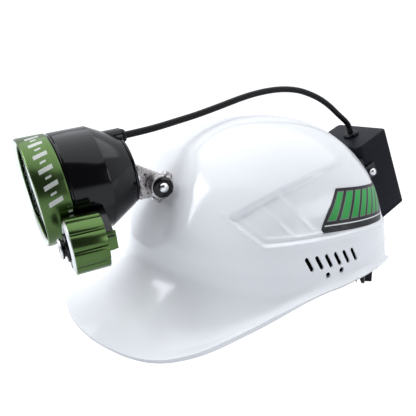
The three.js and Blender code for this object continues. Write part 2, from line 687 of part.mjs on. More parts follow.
const REFLECTOR = { front: 7, back: 30, mouth: 28.6, hole: 4.6 };
function reflectorProfile() {
  const points = [];
  const steps = 4;
  const radiusAt = (u) => REFLECTOR.hole + (REFLECTOR.mouth - REFLECTOR.hole) * Math.sqrt(u);
  for (let i = 0; i <= steps; i++) {
    const u = i / steps;
    points.push([radiusAt(u), REFLECTOR.back - (REFLECTOR.back - REFLECTOR.front) * u]);
  }
  for (let i = steps; i >= 0; i--) {
    const u = i / steps;
    points.push([radiusAt(u) + 1.1, REFLECTOR.back + 0.6 - (REFLECTOR.back - REFLECTOR.front) * u]);
  }
  return points;
}
add(lamp, "reflector", turned(reflectorProfile(), 24), mirror);
add(lamp, "led_emitter", turned([[0, 27.6], [1.4, 28], [2.4, 29.2], [2.8, 30.6], [2.8, 31.2], [0, 31.2]], 16), emitterYellow);
add(lamp, "led_board", disc(11, 31.6, 33.2, 28), boardGreen);
const fins = [-18, -12, -6, 0, 6, 12, 18].map((x) => block(1.6, 8, 36, x, 40, 0));
add(lamp, "heat_sink", join(disc(24, 33.6, 37, 32), ...fins.map((f) => geometryOf(solid(f).intersect(solid(disc(22.5, 36, 44, 32)))))), steel);
add(lamp, "driver_board", disc(16, 46, 47.6, 24), boardGreen);

// Selector: a lobed knob on a fixed shaft beside the lamp, held by an arm off the body.
const selector = new THREE.Group();
selector.position.set(KNOB.x, KNOB.y, KNOB.z);
selector.rotation.set(KNOB.pitch, 0, KNOB.yaw, "ZXY");
lamp.add(selector);
const SHAFT_RADIUS = 3;
const ARM = { front: KNOB.length + 0.6, thickness: 5.2, half: 6.6 };
const shaftBore = () => new THREE.CylinderGeometry(SHAFT_RADIUS + GAP, SHAFT_RADIUS + GAP, 90, 18);
add(
  selector,
  "selector_knob",
  cut(
    alongZ(extruded(lobedDisc(KNOB.radius, KNOB.groove, KNOB.lobes), KNOB.length, 6)).translate(0, KNOB.length, 0),
    shaftBore(),
    disc(13.4, -1, 1.2, 28),
  ),
  greenMetal,
);
add(selector, "selector_shaft", disc(SHAFT_RADIUS, -0.6, ARM.front + ARM.thickness + 1.6, 18), steel);
add(
  selector,
  "index_disc",
  turned([[0, -5.8], [5.6, -5.8], [6.2, -5.2], [6.2, -4], [5, -3.8], [5, -3], [8.2, -2.8], [8.6, -2.3], [8.6, -1.2], [0, -1.2]], 18),
  steel,
);

// The arm runs from the lamp body to a square end round the shaft.
const reach = Math.hypot(KNOB.x, KNOB.z);
const armShape = new THREE.Shape();
armShape.moveTo(-7.4, -ARM.half);
armShape.lineTo(reach - BODY.radius + 7, -8);
armShape.lineTo(reach - BODY.radius + 7, 8);
armShape.lineTo(-7.4, ARM.half);
armShape.closePath();
const arm = alongZ(extruded(armShape, ARM.thickness).rotateZ(Math.atan2(-KNOB.z, -KNOB.x)));
selector.updateMatrix();
const bodyClearance = new THREE.CylinderGeometry(BODY.radius + GAP, BODY.radius + GAP, 90, 56)
  .applyMatrix4(selector.matrix.clone().invert());
const armEnd = 5.4; // the arm stops flat at this x, where the cover plate closes it
add(
  selector,
  "selector_arm",
  cut(
    arm.translate(0, ARM.front + ARM.thickness, 0),
    bodyClearance,
    shaftBore(),
    block(20, 40, 60, armEnd + 10, ARM.front, 0),
  ),
  blackMetal,
);
add(
  selector,
  "arm_cover",
  block(1.6, ARM.thickness + 1, 2 * ARM.half - 1.6, armEnd + GAP + 0.8, ARM.front + ARM.thickness / 2 + 0.2, 0),
  greenMetal,
);

// ---------------------------------------------------------------- cable
const inGland = [60, 65, 71.5].map((y) => fromFrame(lamp, 0, y, GLAND.z));
const inGrommet = [11, 4, -3].map((z) => fromFrame(box, GROMMET.x, GROMMET.y, z));
const route = [...inGland, ...CABLE_ROUTE.map((p) => new THREE.Vector3(...p)), ...inGrommet];
const cableCurve = new THREE.CatmullRomCurve3(route);
const cableSection = new THREE.Shape().absarc(0, 0, CABLE_RADIUS, 0, 2 * Math.PI);
add(
  cap,
  "power_cable",
  new THREE.ExtrudeGeometry(cableSection, { extrudePath: cableCurve, steps: 30, curveSegments: 4, bevelEnabled: false }),
  rubber,
);

// ---------------------------------------------------------------- battery box
const inDepth = -BOX.depth / 2;
const caseHeight = BOX.height - LID_THICKNESS - GAP;
const outer = extruded(roundedRect(BOX.width, BOX.depth, BOX_ROUND), caseHeight).translate(0, inDepth, -caseHeight);
const inner = extruded(
  roundedRect(BOX.width - 2 * BOX_WALL, BOX.depth - 2 * BOX_WALL, BOX_ROUND - BOX_WALL),
  caseHeight,
).translate(0, inDepth, -caseHeight - BOX_WALL);
const posts = [];
for (const sx of [-1, 1]) {
  for (const sy of [-1, 1]) {
    posts.push([sx * (BOX.width / 2 - BOX_WALL - 2.6), inDepth + sy * (BOX.depth / 2 - BOX_WALL - 2.6)]);
  }
}
const CORE_RADIUS = 1.4;
add(
  box,
  "battery_case",
  cut(
    join(
      cut(outer, inner),
      ...posts.map(([x, y]) => block(6.4, 6.4, caseHeight - 1, x, y, -caseHeight / 2 - 0.5)),
    ),
    alongZ(new THREE.CylinderGeometry(4.6, 4.6, 20, 20)).translate(GROMMET.x, GROMMET.y, 0),
    ...posts.map(([x, y]) =>
      alongZ(new THREE.CylinderGeometry(CORE_RADIUS + GAP, CORE_RADIUS + GAP, 24, 12)).translate(x, y, -caseHeight)),
  ),
  boxPlastic,
);
const SOCKET = { x: -14, y: inDepth, width: 10, depth: 5 };
const lidTop = -caseHeight - GAP;
add(
  box,
  "battery_lid",
  cut(
    extruded(roundedRect(BOX.width, BOX.depth, BOX_ROUND), LID_THICKNESS).translate(0, inDepth, -BOX.height),
    block(SOCKET.width + 2 * GAP, SOCKET.depth + 2 * GAP, 20, SOCKET.x, SOCKET.y, -BOX.height),
    ...posts.map(([x, y]) =>
      alongZ(new THREE.CylinderGeometry(CORE_RADIUS + GAP, CORE_RADIUS + GAP, 24, 12)).translate(x, y, -BOX.height)),
    ...posts.map(([x, y]) =>
      alongZ(new THREE.CylinderGeometry(3 + GAP, 3 + GAP, 3, 14)).translate(x, y, -BOX.height)),
  ),
  boxPlastic,
);
posts.forEach(([x, y], k) => {
  const screw = turned([[0, 0], [2.9, 0], [2.9, 1.1], [CORE_RADIUS, 1.15], [CORE_RADIUS, 11], [0, 11]], 14);
  add(box, "lid_screw_" + "abcd"[k], alongZ(screw).translate(x, y, -BOX.height + 0.05), steel);
});
add(
  box,
  "charge_socket",
  cut(
    block(SOCKET.width, SOCKET.depth, 6.4, SOCKET.x, SOCKET.y, -BOX.height + 3.6),
    block(SOCKET.width - 2, SOCKET.depth - 2, 8, SOCKET.x, SOCKET.y, -BOX.height + 1),
  ),
  steel,
);
// The rubber cap closes the socket from below and swings about its inner short edge.
const CHARGE_CAP = { width: 18, depth: 12, thickness: 2 };
add(
  box,
  "charge_cap",
  join(
    extruded(roundedRect(CHARGE_CAP.width, CHARGE_CAP.depth, 3), CHARGE_CAP.thickness)
      .translate(SOCKET.x, SOCKET.y, -BOX.height - GAP - CHARGE_CAP.thickness),
    block(SOCKET.width - 3.6, SOCKET.depth - 3.2, 2.2, SOCKET.x, SOCKET.y, -BOX.height - GAP + 1),
  ),
  rubber,
);

const CELL = { radius: 9.2, length: 65 };
[["battery_cell_left", 1], ["battery_cell_right", -1]].forEach(([name, s]) => {
  const cell = turned([
    [0, -CELL.length / 2], [CELL.radius, -CELL.length / 2], [CELL.radius, CELL.length / 2 - 1],
    [CELL.radius - 1, CELL.length / 2], [0, CELL.length / 2],
  ], 24);
  add(box, name, alongZ(cell).translate(s * (CELL.radius + 0.4), inDepth - 2.5, -caseHeight / 2 - 1.4), cellBlue);
});
add(box, "protection_board", block(34, 1.6, 44, 0, inDepth + CELL.radius + 0.4, -caseHeight / 2), boardGreen);

add(
  box,
  "box_grommet",
  cut(
    alongZ(turned([[0, -4.4], [4.2, -4.4], [4.2, 0.4], [7.2, 0.4], [7.2, 1.5], [6.2, 2.7], [0, 2.7]], 24)),
    alongZ(new THREE.CylinderGeometry(CABLE_RADIUS + GAP, CABLE_RADIUS + GAP, 30, 14)),
  ).translate(GROMMET.x, GROMMET.y, 0),
  rubber,
);

// A bent plate between box and cap: two ears hold the box, two screws hold the cap.
const PLATE = { thickness: 1.8, front: -BOX.depth - 0.4 };
const EARS = { from: -BOX.depth - 2.2, to: -27, z: -26, height: 13 };
const plateX = BOX.width / 2 + GAP;
const earAt = (s) => block(PLATE.thickness, EARS.to - EARS.from, EARS.height, s * (plateX + PLATE.thickness / 2), (EARS.from + EARS.to) / 2, EARS.z);
const plate = extruded(roundedRect(2 * plateX + 2 * PLATE.thickness, 48, 3), PLATE.thickness)
  .rotateX(Math.PI / 2)
  .translate(0, PLATE.front, -34);
const sideHole = (s) => boltHole(1.9, 14).translate(s * BOX.width / 2, -34, EARS.z);
add(
  box,
  "box_bracket",
  cut(
    join(plate, earAt(1), earAt(-1)),
    ...BOX_SCREWS.map((z) => new THREE.CylinderGeometry(SCREW_RADIUS + GAP, SCREW_RADIUS + GAP, 20, 14).translate(0, PLATE.front, z)),
    sideHole(1),
    sideHole(-1),
  ),
  blackPlastic,
);
[["left", 1], ["right", -1]].forEach(([word, s]) => {
  const dome = turned([
    [0, 0], [3.6, 0], [3.6, 2.2], [3.1, 3.6], [1.8, 4.6], [0, 4.9],
  ], 18);
  const start = plateX + PLATE.thickness + GAP;
  add(box, "bracket_cap_nut_" + word, (s > 0 ? dome.rotateZ(-Math.PI / 2) : dome.rotateZ(Math.PI / 2)).translate(s * start, -34, EARS.z), steel);
});
BOX_SCREWS.forEach((z, k) => {
  const word = ["upper", "lower"][k];
  const shank = turned([
    [0, 0], [3.2, 0], [3.2, 0.01], [SCREW_RADIUS, 0.02], [SCREW_RADIUS, 14], [0, 14],
  ], 14);
  add(box, "box_screw_" + word, shank.rotateX(Math.PI).translate(0, PLATE.front + 0.3, z), steel);
});

export default part;
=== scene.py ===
# %% [markdown]
# # Dressing a miner's cap lamp
# A cap lamp is a hard white cap with a tilting lamp in front, a battery box behind and a cable between them.
# The measured model is loaded first and stays as a fixed frame. Each step below builds one piece in millimetres, in
# the frame of the assembly it belongs to, then places it in metres and lets it ride on the moving body of the frame.

# %% Load the fixed frame
import math

import bmesh
import bpy
from mathutils import Matrix, Vector


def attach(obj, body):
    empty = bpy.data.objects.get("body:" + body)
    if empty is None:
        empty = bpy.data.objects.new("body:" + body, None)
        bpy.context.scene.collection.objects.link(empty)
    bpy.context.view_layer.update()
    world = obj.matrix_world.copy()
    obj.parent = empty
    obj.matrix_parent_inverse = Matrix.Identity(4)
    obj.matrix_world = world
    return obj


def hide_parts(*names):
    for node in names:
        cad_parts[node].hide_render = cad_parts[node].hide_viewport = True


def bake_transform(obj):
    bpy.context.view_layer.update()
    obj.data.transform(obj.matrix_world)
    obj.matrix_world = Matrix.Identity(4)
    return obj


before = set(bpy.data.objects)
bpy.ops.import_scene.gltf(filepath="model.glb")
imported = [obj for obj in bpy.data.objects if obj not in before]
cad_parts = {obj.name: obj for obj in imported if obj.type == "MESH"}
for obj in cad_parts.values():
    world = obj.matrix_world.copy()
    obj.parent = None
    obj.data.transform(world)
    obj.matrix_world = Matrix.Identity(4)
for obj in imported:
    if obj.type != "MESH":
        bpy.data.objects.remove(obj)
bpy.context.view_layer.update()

# %% [markdown]
# ## Frames
# The cap leans forward a little, the lamp is pitched on the cap, and the box leans on its back. A matrix for each
# keeps the shapes simple: a lens is drawn round its own axis, and one product of matrices takes it to its place.

# %% The frames, in millimetres
METRES = Matrix.Scale(0.001, 4)


def turned_frame(origin, degrees, axis="X"):
    return Matrix.Translation(origin) @ Matrix.Rotation(math.radians(degrees), 4, axis)


CAP = turned_frame((0, 11.92, 17.68), 1.84)
LAMP = CAP @ turned_frame((0, -172, 84.4), 9.09)
BOX = CAP @ turned_frame((0, 124.3, 116.5), 25.7)
SELECTOR = LAMP @ turned_frame((46.8, 8, -25.6), math.degrees(-0.07), "Z") @ Matrix.Rotation(-0.05, 4, "X")
PIVOT = LAMP @ Matrix.Translation((0, 78.7, -12.8))

SEAT_Y, SEAT_Z, SEAT_SLOPE = -82.1, 79.8, 0.55  # the slanted flat for the bracket, in the cap's frame
pivot_in_cap = CAP.inverted() @ PIVOT.translation
seat_lean = math.atan(SEAT_SLOPE)
pivot_distance = (SEAT_Y + (pivot_in_cap.z - SEAT_Z) * SEAT_SLOPE - pivot_in_cap.y) * math.cos(seat_lean)
seat_point = pivot_in_cap + Vector((0, math.cos(seat_lean), -math.sin(seat_lean))) * pivot_distance
SEAT = CAP @ turned_frame(seat_point, -math.degrees(seat_lean))
print("pivot to seat: %.2f mm" % pivot_distance)

# %% [markdown]
# ## Camera
# The view is from the wearer's left front, a little above the brim. The lens is slightly longer than normal, and a
# small shift keeps the cap off centre, as in a catalogue picture.

# %% Camera
AZIMUTH, ELEVATION, ROLL = 0.984, 0.2496, 0.004  # radians, in the cap's frame
AIM, DISTANCE = Vector((0, -0.06, 52.53)), 387.45  # millimetres
SENSOR_WIDTH, LENS, SHIFT_X, SHIFT_Y = 36, 38.94, -0.112, -0.0034

flat_reach = math.cos(ELEVATION)
back = Vector((math.sin(AZIMUTH) * flat_reach, -math.cos(AZIMUTH) * flat_reach, math.sin(ELEVATION)))
right = Vector((math.cos(AZIMUTH), math.sin(AZIMUTH), 0))
up = back.cross(right)
right, up = math.cos(ROLL) * right + math.sin(ROLL) * up, math.cos(ROLL) * up - math.sin(ROLL) * right
eye = AIM + back * DISTANCE
looking = Matrix((right, up, back)).transposed().to_4x4()
camera_data = bpy.data.cameras.new("camera")
camera_data.sensor_width = SENSOR_WIDTH
camera_data.lens = LENS
camera_data.shift_x, camera_data.shift_y = SHIFT_X, SHIFT_Y
camera = bpy.data.objects.new("camera", camera_data)
bpy.context.scene.collection.objects.link(camera)
camera_turn = (CAP.to_3x3() @ looking.to_3x3()).to_4x4()
camera.matrix_world = Matrix.Translation((CAP @ eye) * 0.001) @ camera_turn
bpy.context.scene.camera = camera
print("camera at", tuple(round(x, 3) for x in camera.matrix_world.translation))

# %% [markdown]
# ## Writing materials as expressions
# A material is a graph of nodes. Drawing a graph in code is long, so a small class wraps a socket and lets Python's
# own operators add the Math nodes. Anything else goes through one method, `node`.


# %% A socket with operators
class Signal:
    def __init__(self, finish, socket):
        self.finish, self.socket = finish, socket

    def math(self, operation, *others):
        return self.finish.node("ShaderNodeMath", dict(operation=operation), [self, *others])

    def __add__(self, other):
        return self.math("ADD", other)

    def __sub__(self, other):
        return self.math("SUBTRACT", other)

    def __mul__(self, other):
        return self.math("MULTIPLY", other)

    def __rsub__(self, other):
        return self.finish.node("ShaderNodeMath", dict(operation="SUBTRACT"), [other, self])

    __radd__ = __add__
    __rmul__ = __mul__

    def above(self, edge, soft=1e-4):
        """0 below the edge and 1 above it, over a soft width."""
        return self.finish.node(
            "ShaderNodeMapRange", dict(interpolation_type="SMOOTHSTEP"),
            {"Value": self, "From Min": edge - soft, "From Max": edge + soft},
        )

    def between(self, low, high, soft=1e-4):
        return self.above(low, soft) * (1 - self.above(high, soft))


# %% A finish: one material on the Principled shader
class Finish:
    def __init__(self, name, color, roughness, metallic=0.0, coat=0.0, **constants):
        self.material = bpy.data.materials.new(name)
        self.material.use_nodes = True
        self.material.diffuse_color = (*color, 1)
        self.nodes = self.material.node_tree.nodes
        self.links = self.material.node_tree.links
        self.shader = self.nodes["Principled BSDF"]
        self.set("Base Color", (*color, 1))
        self.set("Roughness", roughness)
        self.set("Metallic", metallic)
        self.set("Coat Weight", coat)
        for socket, value in constants.items():
            self.set(socket.replace("_", " "), value)

    def set(self, socket, value):
        self.feed(self.shader.inputs[socket], value)

    def feed(self, socket, value):
        if isinstance(value, Signal):
            self.links.new(value.socket, socket)
        else:
            socket.default_value = value

    def node(self, kind, settings=None, inputs=(), output=0):
        made = self.nodes.new(kind)
        for key, value in (settings or {}).items():
            setattr(made, key, value)
        pairs = inputs.items() if isinstance(inputs, dict) else enumerate(inputs)
        for key, value in pairs:
            self.feed(made.inputs[key], value)
        return Signal(self, made.outputs[output])

    def place(self, at=None):
        """Object coordinates, or the coordinates in a frame given in millimetres."""
        here = self.node("ShaderNodeTexCoord", output=3)
        if at is None:
            return here
        inverse = at.inverted()
        spin = inverse.to_euler("XYZ")
        return self.node(
            "ShaderNodeMapping", dict(vector_type="POINT"),
            {"Vector": here, "Location": inverse.translation * 0.001, "Rotation": spin},
        )

    def parts(self, vector):
        split = self.node("ShaderNodeSeparateXYZ", None, [vector])
        outputs = self.nodes[-1].outputs
        return [split] + [Signal(self, outputs[k]) for k in (1, 2)]

    def noise(self, scale, detail=2.0, at=None, stretch=(1, 1, 1)):
        vector = self.node("ShaderNodeMapping", None, {"Vector": at or self.place(), "Scale": stretch})
        return self.node("ShaderNodeTexNoise", None, {"Vector": vector, "Scale": scale, "Detail": detail})

    def blend(self, factor, first, second):
        """A colour that goes from the first to the second."""
        made = self.nodes.new("ShaderNodeMix")
        made.data_type = "RGBA"
        self.feed(made.inputs[0], factor)
        for socket, value in ((made.inputs[6], first), (made.inputs[7], second)):
            self.feed(socket, value if isinstance(value, Signal) else (*value, 1))
        return Signal(self, made.outputs[2])

    def bump(self, height, distance, strength=1.0):
        inputs = {"Strength": strength, "Distance": distance, "Height": height}
        self.set("Normal", self.node("ShaderNodeBump", None, inputs))


# %% [markdown]
# ## Finishes
# Each finish starts from what the real surface is: gloss moulded plastic, turned and dyed aluminium, a cast and
# plated bracket, grained box plastic, rubber, foam; one flat black finish paints shade in the vents. Small changes in
# roughness and a fine bump keep them from looking flat.


# %% Plastics, rubber and foam
def moulded(name, color, roughness, grain, depth, coat=0.0, wear=0.12, shine=0.5):
    made = Finish(name, color, roughness, coat=coat, Specular_IOR_Level=shine)
    broad = made.noise(18, 3)
    made.set("Base Color", made.blend(broad * 0.5, color, tuple(c * 0.86 for c in color)))
    made.set("Roughness", made.noise(40, 4) * wear + (roughness - wear / 2))
    made.bump(made.noise(grain, 3), depth, 0.5)
    return made.material


white_shell = moulded("white_gloss_shell", (0.82, 0.835, 0.86), 0.17, 260, 0.00005, coat=0.15, wear=0.06)
box_plastic = moulded("grained_box_plastic", (0.0035, 0.0045, 0.0095), 0.42, 2600, 0.00016, shine=0.12)
black_plastic = moulded("black_moulding", (0.010, 0.010, 0.012), 0.4, 1500, 0.0001, shine=0.35)
grey_plastic = moulded("grey_harness_moulding", (0.045, 0.048, 0.055), 0.45, 1200, 0.0001)
rubber = moulded("soft_black_rubber", (0.0025, 0.0025, 0.0035), 0.38, 3000, 0.00008, shine=0.2)
lens_gasket = moulded("gasket_rubber", (0.012, 0.012, 0.012), 0.6, 2000, 0.00008)
# A flat black finish that paints shade into the vents, where the inside of the cap is only in shadow.
vent_shade_black = moulded("vent_screen_black", (0.0012, 0.0012, 0.0014), 1.0, 1500, 0.0002, wear=0.1, shine=0.0)
foam = moulded("sweat_pad_foam", (0.020, 0.021, 0.024), 0.86, 1500, 0.0006, wear=0.2)
cell_wrap = moulded("cell_wrap", (0.02, 0.09, 0.32), 0.35, 800, 0.00005)


# %% Metals
def metal(
    name, color, roughness, grain=900, depth=0.00003, at=None, stretch=(1, 1, 1), wear=0.1, metallic=1.0, shine=0.5
):
    made = Finish(name, color, roughness, metallic, Specular_IOR_Level=shine)
    lines = made.noise(grain, 2, made.place(at), stretch)
    dull, bright = tuple(c * 0.86 for c in color), tuple(min(1, c * 1.12) for c in color)
    made.set("Base Color", made.blend(lines, dull, bright))
    made.set("Roughness", made.noise(60, 3) * wear + (roughness - wear / 2))
    made.bump(lines, depth, 0.4)
    return made


cast_nickel = metal("cast_nickel", (0.50, 0.475, 0.475), 0.36, 700, 0.0003, wear=0.25)
pits = cast_nickel.noise(520, 3).above(0.60, 0.05)
plating = cast_nickel.blend(cast_nickel.noise(160, 3), (0.40, 0.37, 0.37), (0.62, 0.6, 0.6))
cast_nickel.set("Base Color", cast_nickel.blend(pits, plating, (0.05, 0.045, 0.045)))
nickel = cast_nickel.material
steel = metal("bright_steel", (0.62, 0.63, 0.65), 0.2, 1400, 0.00003).material
aluminium = metal("raw_aluminium", (0.72, 0.73, 0.74), 0.36, 1500, 0.00004).material
mirror = metal("polished_reflector", (0.85, 0.87, 0.86), 0.06, 200, 0.00002, wear=0.02).material
polished_dome = metal("polished_dome", (0.8, 0.8, 0.82), 0.08, 300, 0.00001, wear=0.02).material
white_edge = metal("machined_edge", (0.86, 0.88, 0.87), 0.22, 900, 0.00003, metallic=0.6).material
TURNING = (0.02, 1, 0.02)  # marks left by a lathe run round the lamp's axis
body_black = metal(
    "black_anodised_body", (0.0012, 0.0012, 0.0022), 0.12, 1500, 0.00002, LAMP, TURNING, wear=0.05, metallic=0.0,
    shine=0.36,
).material

# %% Green anodised finishes
DEEP_GREEN = (0.088, 0.150, 0.050)
knob_green = metal("green_anodised_knob", DEEP_GREEN, 0.24, 900, 0.00004, SELECTOR, (1, 0.02, 1), 0.08).material

# %% [markdown]
# The bezel carries printed marks where a maker would put a name. Here they are plain bars and ticks. The angle round
# the lamp's axis comes from an arctangent, and each mark is where two soft steps overlap.

# %% Bezel: turned green metal with printed bars and ticks
bezel_finish = metal("green_anodised_bezel", DEEP_GREEN, 0.25, 1300, 0.00004, LAMP, TURNING, 0.08)
lamp_x, lamp_y, lamp_z = bezel_finish.parts(bezel_finish.place(LAMP))
turn = lamp_x.math("ARCTAN2", lamp_z)  # 0 at the top, growing towards the wearer's left
MARKS = [  # where each bar begins and ends round the axis, in radians, and 1 for a long bar
    (0.16, 0.24, 1), (0.30, 0.34, 0), (0.42, 0.50, 1), (0.58, 0.62, 0), (0.70, 0.78, 1), (0.86, 0.90, 0),
    (0.98, 1.06, 1), (1.14, 1.18, 0), (1.26, 1.34, 1), (1.42, 1.46, 0), (1.54, 1.62, 1),
]
BAR_SLANT, BAR_MIDDLE = 9.0, 0.009
long_bar = lamp_y.between(0.0048, 0.0132, 0.0002)
short_bar = lamp_y.between(0.0072, 0.0108, 0.0002)
slanted_turn = turn + (lamp_y - BAR_MIDDLE) * BAR_SLANT
print_mask = 0.0
for first, last, long in MARKS:
    print_mask = slanted_turn.between(first, last, 0.006) * (long_bar if long else short_bar) + print_mask
tick_zone = turn.between(1.72, 2.5, 0.01) * lamp_y.between(0.0142, 0.0166, 0.0002)
tick = (turn * 60.0).math("SINE").above(0.3, 0.1) * tick_zone
radius_out = (lamp_x * lamp_x + lamp_z * lamp_z).math("SQRT")
front_edge = (1 - lamp_y.above(0.0013, 0.0002)) * (1 - radius_out.above(0.0344, 0.0001))
turning_lines = bezel_finish.noise(1300, 2, bezel_finish.place(LAMP), TURNING)
green_tone = bezel_finish.blend(turning_lines, (0.072, 0.125, 0.042), (0.105, 0.172, 0.060))
printed = bezel_finish.blend((print_mask + tick).math("MINIMUM", 1.0), green_tone, (0.50, 0.52, 0.49))
bezel_finish.set("Base Color", bezel_finish.blend(front_edge, printed, (0.80, 0.86, 0.78)))
bezel_finish.set("Metallic", 1 - (print_mask + tick).math("MINIMUM", 1.0) * 0.85)
bezel_green = bezel_finish.material
print("bezel marks:", len(MARKS))

# %% Lens, emitter, board and sticker
glass = Finish("lens_glass", (0.90, 0.97, 0.95), 0.02, Transmission_Weight=1.0, IOR=1.5)
glass.bump(glass.noise(30, 1), 0.00002, 0.3)
lens_glass = glass.material
emitter_finish = Finish("emitter_dome", (0.9, 0.8, 0.3), 0.3)
emitter_finish.set("Base Color", emitter_finish.blend(emitter_finish.noise(900), (0.85, 0.7, 0.2), (0.95, 0.88, 0.5)))
emitter = emitter_finish.material
board = Finish("circuit_board", (0.01, 0.11, 0.04), 0.4)
traces = board.noise(500, 0, stretch=(1, 1, 0.2)).above(0.55, 0.02)
board.set("Base Color", board.blend(traces, (0.008, 0.09, 0.035), (0.03, 0.2, 0.08)))
circuit_board = board.material

# %% [markdown]
# The side sticker reads its own UV map, so the pattern follows the slanted outline: slanted green bars on black,
# with a thin pale line under them. No lettering is drawn.

# %% Sticker
sticker = Finish("side_sticker", (0.01, 0.01, 0.012), 0.34, Specular_IOR_Level=0.25)
sticker_uv = sticker.node("ShaderNodeUVMap", dict(uv_map="sticker"))
across, height, _ = sticker.parts(sticker_uv)
lean_across = across * 7.6 - (height - 0.2) * 0.35 * across * 2.0 + 0.1
stripe = lean_across.math("FRACT")
inside_bars = across.between(0.035, 0.955, 0.004) * height.between(0.27, 0.9, 0.008)
green_bars = stripe.between(0.16, 0.80, 0.03) * inside_bars
bar_edge = stripe.between(0.10, 0.86, 0.02) * across.between(0.028, 0.962, 0.004) * height.between(0.25, 0.925, 0.006)
white_line = height.between(0.145, 0.172, 0.004) * across.between(0.02, 0.99, 0.004)
grime = sticker.noise(90, 3)
base_tone = sticker.blend(grime, (0.008, 0.009, 0.010), (0.018, 0.019, 0.021))
pale = sticker.blend((bar_edge - green_bars).math("MAXIMUM", 0.0) * 0.35, base_tone, (0.5, 0.55, 0.5))
green = sticker.blend(green_bars, pale, sticker.blend(height, (0.012, 0.24, 0.035), (0.03, 0.40, 0.08)))
sticker.set("Base Color", sticker.blend(white_line, green, (0.75, 0.77, 0.78)))
side_sticker = sticker.material
print("materials:", len(bpy.data.materials))


# %% [markdown]
# ## Tools for shapes
# Turned parts start as a half outline that is spun round the y axis. Flat parts start as one outline face that is
# extruded. `soften` bevels every sharp edge, since a real edge is never knife sharp and its glint sells the shape.


# %% Turned, extruded and boxed shapes
def soften(shape, width, segments=2, degrees=28):
    shape.normal_update()
    sharp = [e for e in shape.edges if len(e.link_faces) == 2 and e.calc_face_angle(0) > math.radians(degrees)]
    bmesh.ops.bevel(
        shape, geom=sharp, offset=width, offset_type="OFFSET", segments=segments, profile=0.5, affect="EDGES",
        clamp_overlap=True, material=-1,
    )
    return shape


def turned(profile, steps=96, edge=0.25, segments=2):
    """A closed outline of (radius, y) pairs, spun about the y axis."""
    shape = bmesh.new()
    points = [shape.verts.new((r, y, 0)) for r, y in profile]
    pairs = list(zip(points, points[1:]))
    if profile[0][0] > 0:
        pairs.append((points[-1], points[0]))
    lines = [shape.edges.new(pair) for pair in pairs]
    bmesh.ops.spin(
        shape, geom=points + lines, cent=(0, 0, 0), axis=(0, 1, 0), dvec=(0, 0, 0), angle=2 * math.pi, steps=steps,
        use_merge=True, use_duplicate=False,
    )
    bmesh.ops.remove_doubles(shape, verts=shape.verts, dist=1e-4)
    bmesh.ops.recalc_face_normals(shape, faces=shape.faces)
    return soften(shape, edge, segments) if edge else shape


def extruded(outline, depth):
    """An outline of (x, z) pairs as a plate from y = 0 to y = depth."""
    shape = bmesh.new()
    face = shape.faces.new([shape.verts.new((x, 0, z)) for x, z in outline])
    grown = bmesh.ops.extrude_face_region(shape, geom=[face])
    far = [v for v in grown["geom"] if isinstance(v, bmesh.types.BMVert)]
    bmesh.ops.translate(shape, verts=far, vec=(0, depth, 0))
    bmesh.ops.recalc_face_normals(shape, faces=shape.faces)
    return shape


def block(size, centre=(0, 0, 0), corner=0.0, edge=0.3, axis=2, segments=6):
    """A box whose edges along one axis have a large radius, and all others a small one."""
    shape = bmesh.new()
    bmesh.ops.create_cube(shape, size=1)
    bmesh.ops.scale(shape, verts=shape.verts, vec=size)
    if corner:
        long = [e for e in shape.edges if abs((e.verts[0].co - e.verts[1].co).normalized()[axis]) > 0.9]
        bmesh.ops.bevel(shape, geom=long, offset=corner, segments=segments, profile=0.5, affect="EDGES", material=-1)
    if edge:
        soften(shape, edge, 2, 50)
    bmesh.ops.translate(shape, verts=shape.verts, vec=centre)
    return shape


def joined(*shapes):
    whole = shapes[0]
    for other in shapes[1:]:
        spare = bpy.data.meshes.new("spare")
        other.to_mesh(spare)
        other.free()
        whole.from_mesh(spare)
        bpy.data.meshes.remove(spare)
    return whole


def put(shape, matrix):
    bmesh.ops.transform(shape, matrix=matrix, verts=shape.verts)
    return shape


ALONG_X = Matrix.Rotation(-math.pi / 2, 4, "Z")
ALONG_Z = Matrix.Rotation(math.pi / 2, 4, "X")


# %% From a shape to a finished piece
def link_piece(name, shape, material):
    mesh = bpy.data.meshes.new(name)
    shape.to_mesh(mesh)
    shape.free()
    mesh.materials.append(material)
    mesh.polygons.foreach_set("use_smooth", [True] * len(mesh.polygons))
    mesh.set_sharp_from_angle(angle=math.radians(38))
    piece = bpy.data.objects.new(name, mesh)
    bpy.context.scene.collection.objects.link(piece)
    return piece


def finish_piece(name, shape, place, body, material, slot, *nodes):
    """Places a shape and lets it ride on its body in place of some nodes of the frame."""
    piece = link_piece(name, put(shape, METRES @ place), material)
    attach(piece, body)
    if nodes:
        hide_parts(*nodes)
    print("%-22s %6d faces" % (name, len(piece.data.polygons)))
    return piece


# %% [markdown]
# ## Power cable
# The cable is 5 mm round and medium stiff. It leaves the lamp's gland straight, arches over the crown and drops
# into the box. Its route repeats the frame's own, and the tube is a circle swept along a smooth curve.

# %% Cable route, in metres
CABLE_RADIUS = 2.5
GLAND_Z = 24
ROUTE = [
    (0, -89.5, 122.3), (0, -79.5, 124.6), (0, -69.5, 127.1), (0, -53.5, 131.2), (0.1, -37.3, 136),
    (0.3, -25.6, 139.7), (0.6, -14.2, 143.3), (0.9, -2, 146.5), (1.2, 10.5, 148.9), (1.5, 22, 150.2),
    (1.8, 33, 150.4), (2.1, 45, 149.2), (2.4, 58, 145.8), (2.7, 69, 141.5), (2.9, 79, 136), (3, 88.6, 129.4),
]
route = [LAMP @ Vector((0, y, GLAND_Z)) for y in (60, 65, 71.5)]
route += [CAP @ Vector(p) for p in ROUTE]
route += [BOX @ Vector((3.1, -18, z)) for z in (11, 4, -3)]


